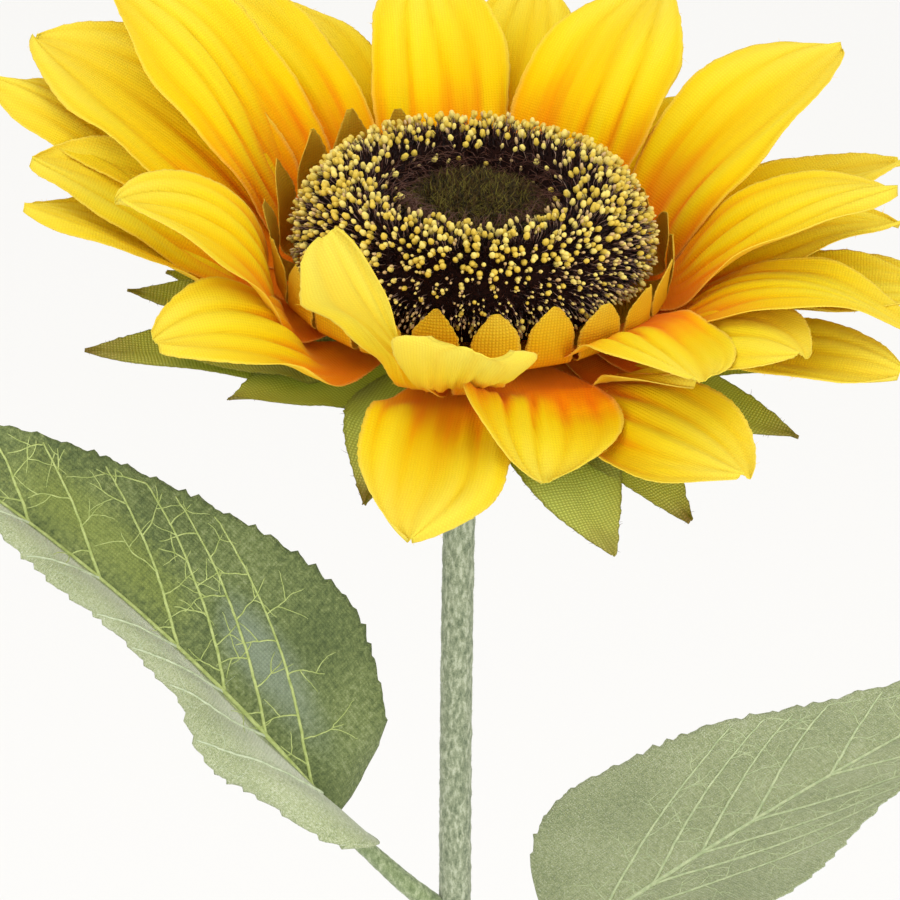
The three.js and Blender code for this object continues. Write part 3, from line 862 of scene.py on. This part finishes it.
def make_sepals():
    make_blades(
        "sepal", SEPALS, seed=2, finish=sepal_finish(), size=(72, 15), relief=lambda random: creased,
        ragged=toothed(1.7, 0.45, 0.16), chance=0.1, hairs=(60, 0.9, 0.055), codes=("5c4a2c", "7d7040"),
    )


def near(at, middle, spread):
    """1 where two bearings in degrees are the same, and less away from there."""
    return bell((at - middle + 180) % 360, 180, spread)


def make_inner_petals():
    parts, threads, tones = [], [], []
    for index in range(INNER_COUNT):
        random = dice(3, index)
        at = 360 * (index + 0.85) / INNER_COUNT
        tip_height = 10.5 + 12 * near(at, 135, 42) + 3 * near(at, 270, 40) + random.uniform(-1.2, 0.4)
        own = {"at": at, "length": 10.2 + tip_height, "blunt": random.uniform(1.9, 2.8)}
        blade = Blade({**PETAL, **INNER, **own})
        cloth = blade_grid(blade, random, 44, 15, pleats(0.2, 0.5, 3), frayed(0.2, 0.25))
        parts.append(cloth.part(CLOTH_THICKNESS))
        threads.append(cloth.thread())
        tones.append(cloth.tone(random.uniform(-0.15, 0.15)))
    ring = turned(INNER_RING, 72)
    parts.append(placed(ring))
    threads.append(ring[0][:, :2] * MM)
    tones.append(np.tile((0.0, 0.5, 0.0, 0.5), (len(ring[0]), 1)))
    piece("inner_petal_ring", joined(parts), inner_finish(), "inner_cloth", ["inner_petals"],
          np.concatenate(threads), np.concatenate(tones))


# Seed head


def rounded(points, times=3):
    """A line of points with its corners cut to a curve."""
    points = np.array(points, float)
    for _ in range(times):
        first, second = points[:-1], points[1:]
        cut = np.stack([first * 0.75 + second * 0.25, first * 0.25 + second * 0.75], 1)
        points = np.concatenate([points[:1], cut.reshape(-1, points.shape[1]), points[-1:]])
    return points


class SeedSurface:
    """The outer surface of the seed head, by share of its area from the rim to the hollow."""

    def __init__(self):
        self.section = rounded(SEED_SECTION)
        along = unit(np.gradient(self.section, axis=0))
        self.normal = np.stack([along[:, 1], -along[:, 0]], -1)
        steps = np.linalg.norm(np.diff(self.section, axis=0), axis=-1)
        area = summed(steps * (self.section[1:, 0] + self.section[:-1, 0]) / 2)
        self.share = area / area[-1]

    def at(self, share, angle):
        """Points and outward normals at shares of the area and angles round the bloom."""
        radius, height = (np.interp(share, self.share, self.section[:, k]) for k in (0, 1))
        out, up = (np.interp(share, self.share, self.normal[:, k]) for k in (0, 1))
        return polar(radius, angle, height), polar(out, angle, up)

    def inset(self, depth):
        return self.section - self.normal * depth


def clumped(points, random, clumps, pull):
    """Moves points a share of the way to the nearest of some of them, so that they stand in clumps."""
    middles = points[random.choice(len(points), clumps, False)]
    apart = np.linalg.norm(points[:, None] - middles[None], axis=-1)
    return points + (middles[apart.argmin(1)] - points) * pull


def leaning(points, normals, random, spread, outwards):
    """Directions that follow the normals, lean out from the middle, and differ a little."""
    radial = unit(points * (1, 1, 0))
    return unit(normals + radial * outwards + random.normal(0, spread, points.shape))


def make_seed_head():
    surface = SeedSurface()
    foot = ((30, 0), (36, 0.8))
    floor = ((CENTRE_RADIUS, HOLLOW_FLOOR - 2),)
    core = turned(np.concatenate([foot, surface.inset(BRISTLE_LENGTH), floor]), 96)
    finish = Finish("seed_core_dark", roughness=0.95, specular_ior_level=0.1)
    dark = mottled(finish, (1400, 4.0, 0.7), {0.35: "120605", 0.6: "26100b", 0.8: "3a1c12"}, 0.0008)
    piece("seed_core", placed(core), dark, "seed_bristle", ["seed_head"])
    make_beads(surface)
    for name, row in BRISTLES.items():
        make_bristles(surface, name, *row)


# How many beads are round, and how many stand at all, by share of the area from the rim to the hollow.
ROUND_BEADS = ((0, 0.3, 0.45, 0.6, 0.8, 1), (0.32, 0.4, 0.56, 0.85, 0.75, 0.4))
STANDING_BEADS = ((0, 0.55, 0.8, 0.9, 1), (0.95, 0.9, 0.8, 0.4, 0.25))
# Least and most radius and stretch of the round and of the slender beads.
ROUND_SIZES = ((0.54, 0.84), (1.1, 1.5))
SLENDER_SIZES = ((0.32, 0.48), (1.4, 2.3))
FILAMENT_RADIUS = 0.13
BEAD_COUNT = 3300
BEAD_CLUMPS = 600
GOLDEN_ANGLE = math.pi * (3 - math.sqrt(5))

# How deep a bristle or filament is rooted, as a share of its length.
ROOTED = 1.05


def make_beads(surface):
    """Beads on filaments, set like seeds. They are rounder at the hollow, and finer at the front's rim."""
    random = dice(4)
    count = BEAD_COUNT
    order = np.arange(count)
    share = np.clip((order + random.uniform(0, 1, count)) / count, 0, 1)
    angle = order * GOLDEN_ANGLE + random.normal(0, 0.03, count)
    points, normals = surface.at(share, angle)
    points = clumped(points, random, BEAD_CLUMPS, 0.14)
    front = 0.5 - 0.5 * np.sin(angle)
    round_share = np.interp(share, *ROUND_BEADS) * (1 - 0.62 * front * (share < 0.52))
    kept = random.uniform(0, 1, count) < np.interp(share, *STANDING_BEADS)
    is_round = random.uniform(0, 1, count) < round_share
    lean = leaning(points, normals, random, 0.15, 0.3)
    radii, stretch = (
        np.where(is_round, random.uniform(*wide, count), random.uniform(*slim, count))
        for wide, slim in zip(ROUND_SIZES, SLENDER_SIZES)
    )
    radii = radii * (1 - 0.22 * front * (share < 0.45))
    short = random.uniform(0, 1, count) ** 1.5 * 2.8
    roots = points - normals * BRISTLE_LENGTH * ROOTED
    tips = roots + lean * (BRISTLE_LENGTH * 1.08 - radii * stretch - short)[:, None]
    chance = random.uniform(0, 1, count)
    kinds = {
        "gold": ("ccae3c", "ead67c", is_round & (chance < 0.62)),
        "pale": ("dcc662", "f2e6a4", is_round & (chance >= 0.62)),
        "slender": ("d4bc68", "eedf9e", ~is_round & (chance < 0.6)),
        "tan": ("bc9c68", "dec696", ~is_round & (chance >= 0.6)),
    }
    for kind, (dark, light, chosen) in kinds.items():
        chosen = chosen & kept
        part = beads(in_bloom(tips[chosen]), turned_axes(lean[chosen]), radii[chosen], stretch[chosen])
        piece(f"seed_beads_{kind}", part, plain_fibre(f"bead_{kind}", dark, light, 0.55), "seed_bristle")
    bow = random.normal(0, 0.25, (count, 3))
    stalks = fibres(in_bloom(roots[kept]), in_bloom(tips[kept]), FILAMENT_RADIUS, bow[kept])
    piece("seed_filaments", stalks, plain_fibre("filament_light", "9a7a68", "dcc6b0", 0.5), "seed_bristle")


# The bristles between the beads: seed, amount, two colours and the longest share of BRISTLE_LENGTH.
BRISTLES = {
    "dark": (5, 4600, "180807", "32140e", 0.86),
    "brown": (6, 1700, "442218", "845a48", 0.94),
}


def make_bristles(surface, name, seed, amount, dark, light, longest):
    random = dice(seed)
    share = random.uniform(0, 1, amount)
    points, normals = surface.at(share, random.uniform(0, 2 * np.pi, amount))
    roots = points - normals * BRISTLE_LENGTH * ROOTED
    lean = leaning(points, normals, random, 0.24, 0.3)
    length = BRISTLE_LENGTH * longest * random.uniform(0.6, 1, amount)
    tips = roots + lean * length[:, None]
    bow = random.normal(0, 0.3, (amount, 3))
    part = fibres(in_bloom(roots), in_bloom(tips), random.uniform(0.1, 0.2, amount), bow)
    piece(f"seed_bristles_{name}", part, plain_fibre(f"bristle_{name}", dark, light, 0.5), "seed_bristle")


def make_hollow_wisps():
    """Reddish hairs that lie from the inner rim over the edge of the moss."""
    random = dice(7)
    count = 620
    angle = random.uniform(0, 2 * np.pi, count)
    radius = random.uniform(14, 21, count)
    height = np.interp(radius, (14, 21), (18.2, 24.5)) - 1.5
    inner = radius - random.uniform(2, 6.5, count)
    turn = angle + random.normal(0, 0.22, count)
    lift = np.maximum(height + random.uniform(-1, 2.2, count), HOLLOW_FLOOR + 2.6)
    bow = random.uniform(0.3, 1.2, (count, 1)) * (0, 0, 1)
    roots, tips = polar(radius, angle, height), polar(inner, turn, lift)
    part = fibres(in_bloom(roots), in_bloom(tips), 0.09, bow)
    piece("hollow_wisps", part, plain_fibre("wisp_red_brown", "4c281c", "a07c66", 0.5), "seed_bristle")


# Fibres that grow from a surface, by geometry nodes


def fibre_tree():
    """Cones scattered on a surface, leaning a little, realized as one mesh with its finish."""
    tree = bpy.data.node_groups.new("fibres_on_a_surface", "GeometryNodeTree")
    kinds = {
        "Surface": "Geometry", "Density": "Float", "Length": "Float", "Thickness": "Float",
        "Lean": "Float", "Seed": "Int", "Finish": "Material",
    }
    for name, kind in kinds.items():
        tree.interface.new_socket(name, in_out="INPUT", socket_type=f"NodeSocket{kind}")
    tree.interface.new_socket("Fibres", in_out="OUTPUT", socket_type="NodeSocketGeometry")

    def add(kind, settings=None, **sockets):
        named = {word.replace("_", " "): given for word, given in sockets.items()}
        return new_node(tree, kind, settings, named).outputs

    given = add("NodeGroupInput")
    seed = given["Seed"]
    vectors = {"data_type": "FLOAT_VECTOR"}
    scattered = add(
        "GeometryNodeDistributePointsOnFaces", Mesh=given["Surface"], Density=given["Density"], Seed=seed,
    )
    cone = add(
        "GeometryNodeMeshCone", Vertices=3, Radius_Top=0.0, Radius_Bottom=given["Thickness"],
        Depth=given["Length"],
    )
    size = add("FunctionNodeRandomValue", vectors, Min=(0.7, 0.7, 0.5), Max=(1.2, 1.2, 1.2), Seed=seed)
    least = new_node(tree, "ShaderNodeMath", {"operation": "MULTIPLY"}, {0: given["Lean"], 1: -1.0})
    tilt = add("FunctionNodeRandomValue", vectors, Min=least.outputs[0], Max=given["Lean"], Seed=seed)
    standing = add(
        "GeometryNodeInstanceOnPoints", Points=scattered["Points"], Instance=cone["Mesh"],
        Rotation=scattered["Rotation"], Scale=size["Value"],
    )
    leaning = add("GeometryNodeRotateInstances", Instances=standing[0], Rotation=tilt["Value"])
    real = add("GeometryNodeRealizeInstances", Geometry=leaning[0])
    coloured = add("GeometryNodeSetMaterial", Geometry=real[0], Material=given["Finish"])
    add("NodeGroupOutput", Fibres=coloured[0])
    return tree


def grown(name, surface, tree, finish, slot, **inputs):
    """A piece of fibres that stand on the surface of another piece."""
    host = shown(f"{name}_host", surface.data)
    modifier = host.modifiers.new("fibres", "NODES")
    modifier.node_group = tree
    values = {**inputs, "Finish": finish}
    for item in tree.interface.items_tree:
        if item.in_out == "INPUT" and item.name in values:
            modifier[item.identifier] = values[item.name]
    bpy.context.view_layer.update()
    graph = bpy.context.evaluated_depsgraph_get()
    mesh = bpy.data.meshes.new_from_object(host.evaluated_get(graph))
    mesh.name = name
    bpy.data.objects.remove(host)
    return settled(name, mesh, finish, slot)


# The tufts of the moss: colour, seed and how many grow on a square metre.
MOSS_TUFTS = {
    "olive": ("6c6222", 11, 1.0e6),
    "shade": ("241c0a", 12, 1.6e6),
    "brown": ("46300f", 13, 1.4e6),
}


def make_centre(tree):
    finish = Finish("moss_ground", roughness=0.95, specular_ior_level=0.1)
    moss = mottled(finish, (420, 4.0, 0.6), {0.35: "1a1206", 0.5: "382e10", 0.66: "5c5020"}, 0.0012)
    radius, low = CENTRE_RADIUS, HOLLOW_FLOOR - 0.4
    top = low + 3.3
    section = ((radius, low), (radius, low + 0.8), (radius * 0.7, top - 0.7), (3, top), (0.5, top))
    pad = placed(turned(rounded(section), 64))
    ground = piece("moss_pad", pad, moss, "centre_moss", ["seed_centre"])
    for word, (code, seed, density) in MOSS_TUFTS.items():
        fibre = plain_fibre(f"moss_{word}", code, "857638", 0.8)
        grown(f"moss_tufts_{word}", ground, tree, fibre, "centre_moss",
              Density=density, Length=0.003, Thickness=0.0002, Lean=1.0, Seed=seed)


# Stem, stalks and receptacle


def bezier(points, count):
    a, b, c, d = (np.array(p, float) for p in points)
    t = np.linspace(0, 1, count + 1)[:, None]
    return a * (1 - t) ** 3 + 3 * b * t * (1 - t) ** 2 + 3 * c * t * t * (1 - t) + d * t ** 3


def lumps(random, rows, sides, size):
    """Soft uneven relief of a flocked limb, closed round its sides."""
    angle = round_angles(sides)
    along = np.arange(rows)[:, None]
    total = np.zeros((rows, sides))
    for _ in range(10):
        turns = random.integers(1, 6)
        pace = random.uniform(0.15, 1.6)
        total += np.sin(turns * angle + pace * along + random.uniform(0, 6)) * random.uniform(0.3, 1)
    return total * size / 3 + random.normal(0, size / 3, (rows, sides))


def make_limb(name, line, radii, relief, flock, fuzz, tree, **fibre_inputs):
    """A flocked limb from its first to its last radius, and the short fibres on it."""
    part = tube(line, np.linspace(*radii, len(line)), relief.shape[1], relief)
    limb = piece(f"{name}_flocked", part, flock, "stem_flock", [name])
    grown(f"{name}_fuzz", limb, tree, fuzz, "stem_flock", Thickness=0.00005, Lean=0.7, **fibre_inputs)


# The ways of the leaf stalks, from inside the stem to the leaf's foot.
STALK_ROUTES = {
    "left": ((0, 0, 299), (-8, -2, 306), (-16, -5, 314), (-31.2, -8.3, 332)),
    "right": ((0, 0, 276), (8, 2, 280), (16, 6, 282), (30, 10.6, 290.7)),
}


def make_stem(tree):
    axis = turned_axes(np.array((0, 0, 1.0)))
    top = in_bloom(np.array((0, 0, -30 - GAP)))
    lower = bezier(((0, 0, 0), (0, 0, 150), (-2, 1, 300), (0, 0, 400)), 300)
    upper = bezier(((0, 0, 400), (0.4, -0.2, 420), top - axis * 10, top + axis * GAP), 36)
    line = np.concatenate([lower, upper[1:]])
    relief = lumps(dice(8), len(line), 28, 0.14)
    relief[0] = 0
    flock = flock_finish("stem_flock_mottled", "576448", "848d6f", "b0b69c")
    fuzz = plain_fibre("flock_fibre", "a9b29a", "d5d9cb", 0.9)
    make_limb("stem", line, (4.2, 3.8), relief, flock, fuzz, tree, Density=9e5, Length=0.00042, Seed=21)
    green = flock_finish("stalk_flock_mottled", "5c6c42", "7e8d60", "a2ac86")
    for index, (side, route) in enumerate(STALK_ROUTES.items()):
        line = bezier(route, 48)
        relief = lumps(dice(9, index), len(line), 20, 0.08)
        make_limb(f"leaf_stalk_{side}", line, (3.2, 1.8), relief, green, fuzz, tree,
                  Density=6e5, Length=0.0003, Seed=22 + index)


RECEPTACLE_SECTION = (
    (4.6, -30), (5.2, -28), (7.5, -25), (11.6, -21), (12, -18), (12, -14), (13, -13.2), (19.6, -13.2),
    (20, -12.4), (20, -4.4), (19.4, -3.5), (16, -3.4),
)


def ribs(height, angle):
    """Twelve soft ribs on the lower part of the receptacle."""
    return 0.35 * np.cos(12 * angle) * smooth((-13 - height) / 4) - 0.2


def make_receptacle():
    hub = turned(rounded(RECEPTACLE_SECTION, 2), 72, ribs)
    finish = Finish("receptacle_cloth", roughness=0.9, sheen_weight=0.2)
    place = finish.place()
    colour = finish.ramp(finish.noise(place, 260, 4.0, 0.6), {0.35: "5a6b2e", 0.5: "748040", 0.68: "8e945a"})
    cover = finish.done(colour, finish.noise(place, 3000), 0.0002, 0.7)
    piece("receptacle_cover", placed(hub), cover, "sepal_cloth", ["receptacle"])


# Leaves


def between(grid, row, column):
    """Values of a grid between its points."""
    top = np.clip(row.astype(int), 0, grid.shape[0] - 2)
    left = np.clip(column.astype(int), 0, grid.shape[1] - 2)
    down = (row - top)[:, None]
    right = (column - left)[:, None]
    upper = grid[top, left] * (1 - right) + grid[top, left + 1] * right
    lower = grid[top + 1, left] * (1 - right) + grid[top + 1, left + 1] * right
    return upper * (1 - down) + lower * down


class VeinNet:
    """Raised veins of a leaf, drawn in flat coordinates: millimetres aside and along."""

    def __init__(self, cloth, random, fineness):
        self.fineness = fineness
        self.blade = cloth.blade
        self.grid = cloth.grid
        self.normals = grid_normals(cloth.grid)
        self.random = random
        self.tubes = []

    def draw(self, aside, along, first, last):
        """Adds a vein where its line is on the leaf. first and last are its radii."""
        across = aside / np.maximum(self.blade.half(along, aside), 0.5)
        off = (np.abs(across) > 0.94) | (along > self.blade.length * 0.985) | (along < 0)
        end = int(np.argmax(off)) if off.any() else len(off)
        if end < 4:
            return
        row = along[:end] / self.blade.length * (self.grid.shape[0] - 1)
        column = (across[:end] + 1) / 2 * (self.grid.shape[1] - 1)
        line = between(self.grid, row, column)
        line = line + between(self.normals, row, column) * LEAF_CLOTH_THICKNESS / 2
        self.tubes.append(tube(line, np.linspace(first, last, end), 5))

    def branch(self, aside, along, heading, length, radius, forks):
        """A wandering branch with its forks."""
        count = max(6, int(length / 0.8))
        turn = heading + np.cumsum(self.random.normal(0, 0.14, count))
        step = length / count
        x = aside + summed(np.cos(turn) * step)
        y = along + summed(np.sin(turn) * step)
        self.draw(x, y, radius, radius * 0.5)
        for way in (-1, 1) if forks else ():
            at = int(count * self.random.uniform(0.35, 0.85))
            bent = turn[at] + way * self.random.uniform(0.6, 1.2)
            self.branch(x[at], y[at], bent, length * self.random.uniform(0.5, 0.8), radius * 0.75, forks - 1)

    def lateral(self, way, foot, reach, radius):
        """A side vein that bends towards the tip, a little kinked, with branches on both sides."""
        x = np.linspace(0, reach, 60)
        kinks = np.cumsum(self.random.normal(0, 0.12, len(x)))
        y = foot + lateral_path(x) + kinks
        self.draw(way * x, y, radius, radius * 0.5)
        marks = np.arange(3.5, reach - 2, 3.6)
        for number, at in enumerate(marks):
            at = at + self.random.uniform(-0.8, 0.8)
            start, beyond = np.interp((at, at + 1), x, y)
            turn = (1 if number % 2 else -1) * self.random.uniform(0.8, 1.3)
            length = self.random.uniform(6, 13)
            heading = math.atan2(beyond - start, way) + turn
            self.branch(way * at, start, heading, length, radius * self.fineness, 1)


# Where the side veins leave the midrib, and the radii of the veins.
LATERAL_FEET = (9, 26, 41, 57, 82, 104, 123, 140)
LATERAL_RADIUS = 0.46
MIDRIB_RADII = (0.9, 0.3)


def lateral_path(aside):
    """How far along the blade a side vein has come at a distance aside from the midrib."""
    return 1.5 * aside + 16 * (aside / 30) ** 3


def quilted(blade, reach, flat, random):
    """Relief of a leaf: grooves along its veins, soft pillows between them, a wavy margin."""
    aside = np.abs(flat) * blade.half(reach, flat)
    total = 0.5 - 0.8 * bell(aside, 0, 2.2)
    for foot in LATERAL_FEET:
        total = total - 0.6 * bell(reach, foot + lateral_path(aside), 4.4) * smooth(aside / 4)
    long_wave = np.sin(reach / 9 + random.uniform(0, 6) + (flat > 0) * 1.3)
    waves = 1.2 * np.abs(flat) ** 3 * long_wave
    return (total + waves) * smooth(reach / 14), 0.5


# Which way the lobe at the foot of the left leaf hangs over its stalk.
LOBE_WAY = (0.94, -0.08, -0.42)


def lobed(cloth, drop):
    """The left leaf's grid: margins that swell and draw in, and a lobe that hangs over the stalk."""
    reach, flat = cloth.reach, cloth.flat
    near_margin = 1 + 0.25 * bell(reach, 0, 10) + 0.14 * bell(reach, 31, 8)
    near_margin = near_margin - 0.3 * smooth((reach - 38) / 12) + 0.18 * smooth((reach - 72) / 20)
    far_margin = 1 - 0.1 * bell(reach, 14, 14)
    midrib = cloth.grid[:, cloth.grid.shape[1] // 2][:, None]
    spread = (cloth.grid - midrib) * np.where(flat > 0, near_margin, far_margin)[..., None]
    rounding = np.sqrt(np.clip(1 - ((flat - 0.6) / 0.6) ** 2, 0, 1))
    hanging = drop * rounding * (1 - smooth(reach / 26))
    return midrib + spread + np.array(LOBE_WAY) * hanging[..., None]


def leaf_tone(cloth, pale_half, pale_all):
    """Tones of a leaf: grey bloom or fresh green, margin, underside, and how pale it is."""
    reach, flat = cloth.reach, cloth.flat
    tone = cloth.tone()
    near_half = smooth(np.broadcast_to(flat, cloth.grid.shape[:2]) * 6).reshape(-1)
    tone[:, 3] = np.clip(pale_half * np.tile(near_half, 2) + pale_all, 0, 1)
    aside = -flat * cloth.blade.half_width(reach)
    grey = bell(aside, 9 + reach * 0.1, 8) * bell(reach, 42, 30)
    fresh = bell(aside, 9, 9) * smooth((reach - 46) / 22) * (1 - smooth((reach - 98) / 34))
    tone[:, 0] = np.tile((grey - fresh).reshape(-1), 2) * (1 - pale_all)
    return tone


# What each leaf has of its own. veins are the dark and light colours of each half's veins, fineness is how
# thick a branch is beside its side vein, and drop is how far the lobe hangs.
LEAF_LOOKS = {
    "left": {
        "veins": {"far": ("9aa862", "b6c27e"), "near": ("a9b592", "c0c9ab")},
        "fineness": {"far": 0.5, "near": 0.2}, "pale_half": 0.95, "pale_all": 0, "drop": 12,
    },
    "right": {
        "veins": {"far": ("a9b78c", "c2cca2"), "near": ("a9b78c", "c2cca2")},
        "fineness": {"far": 0.34, "near": 0.34}, "pale_half": 0, "pale_all": 0.7, "drop": 0,
    },
}


def make_leaf(side, seed, cloth_finish, veins, fineness, pale_half, pale_all, drop):
    blade = Blade({**PETAL, **LEAF, **LEAVES[side]})
    cloth = blade_grid(blade, dice(10, seed), 160, 49, quilted, toothed(5.4, 1.5, 0.16))
    if drop:
        cloth.grid = lobed(cloth, drop)
    name = f"leaf_{side}"
    part = cloth.part(LEAF_CLOTH_THICKNESS, bloom=False)
    tone = leaf_tone(cloth, pale_half, pale_all)
    piece(f"{name}_cloth", part, cloth_finish, "leaf_cloth", [name], cloth.thread(), tone)
    random = dice(11, seed)
    for way, word in ((-1, "far"), (1, "near")):
        net = VeinNet(cloth, random, fineness[word])
        if way < 0:
            along = np.linspace(0.6, blade.length * 0.97, 140)
            net.draw(np.zeros(len(along)), along, *MIDRIB_RADII)
        width = blade.width / 2 * (blade.near_share if way > 0 else 1)
        for foot in LATERAL_FEET:
            net.lateral(way, foot, width, LATERAL_RADIUS)
        dark, light = veins[word]
        finish = Finish(f"vein_{side}_{word}", roughness=0.85, specular_ior_level=0.15)
        raised = mottled(finish, (600,), {0.35: dark, 0.65: light}, 0.0001, 0.5)
        piece(f"{name}_veins_{word}", joined(net.tubes), raised, "leaf_cloth")


# The whole scene


def make_floor():
    mesh = bpy.data.meshes.new("floor")
    corners = [(x * FLOOR_REACH, y * FLOOR_REACH, 0) for x, y in ((-1, -1), (1, -1), (1, 1), (-1, 1))]
    mesh.from_pydata(corners, [], [(0, 1, 2, 3)])
    floor = shown("floor", mesh)
    finish = Finish("floor_pale", roughness=0.9, emission_strength=0.41)
    finish.shader.inputs["Base Color"].default_value = (0.42, 0.417, 0.41, 1)
    finish.shader.inputs["Emission Color"].default_value = (0.97, 0.96, 0.945, 1)
    mesh.materials.append(finish.material)


def make_lights():
    world = bpy.data.worlds.new("pale_room")
    world.use_nodes = True
    sky = world.node_tree.nodes["Background"]
    sky.inputs["Color"].default_value = (0.97, 0.967, 0.955, 1)
    sky.inputs["Strength"].default_value = 1.23
    bpy.context.scene.world = world
    for name, place, aim, size, power in (
        ("overhead", (-0.35, -0.25, 1.75), (0, 0, 0.45), 1.3, 4),
        ("front_left", (-1.2, -1.8, 0.6), (0, 0, 0.42), 1.1, 13),
        ("front_right", (1.5, -1.5, 0.7), (0, 0, 0.42), 1.2, 18),
    ):
        light = bpy.data.lights.new(name, "AREA")
        light.size = size
        light.energy = power
        lamp = shown(name, light)
        lamp.location = place
        lamp.rotation_euler = (Vector(aim) - Vector(place)).to_track_quat("-Z", "Y").to_euler()


def make_camera():
    camera = bpy.data.cameras.new("camera")
    camera.lens = VIEW_LENS
    camera.sensor_width = SENSOR_WIDTH
    eye = shown("camera", camera)
    away = Vector((0, -math.cos(VIEW_ELEVATION), math.sin(VIEW_ELEVATION)))
    eye.location = VIEW_TARGET + away * VIEW_DISTANCE
    eye.rotation_euler = Euler((math.pi / 2 - VIEW_ELEVATION, 0, 0))
    bpy.context.scene.camera = eye


make_camera()
make_lights()
make_floor()
bpy.context.scene.view_settings.view_transform = "Standard"

fibre_nodes = fibre_tree()
make_petals()
make_sepals()
make_inner_petals()
make_seed_head()
make_hollow_wisps()
make_centre(fibre_nodes)
make_receptacle()
make_stem(fibre_nodes)
leaf_cloth = leaf_finish()
for index, (side, looks) in enumerate(LEAF_LOOKS.items()):
    make_leaf(side, index, leaf_cloth, **looks)
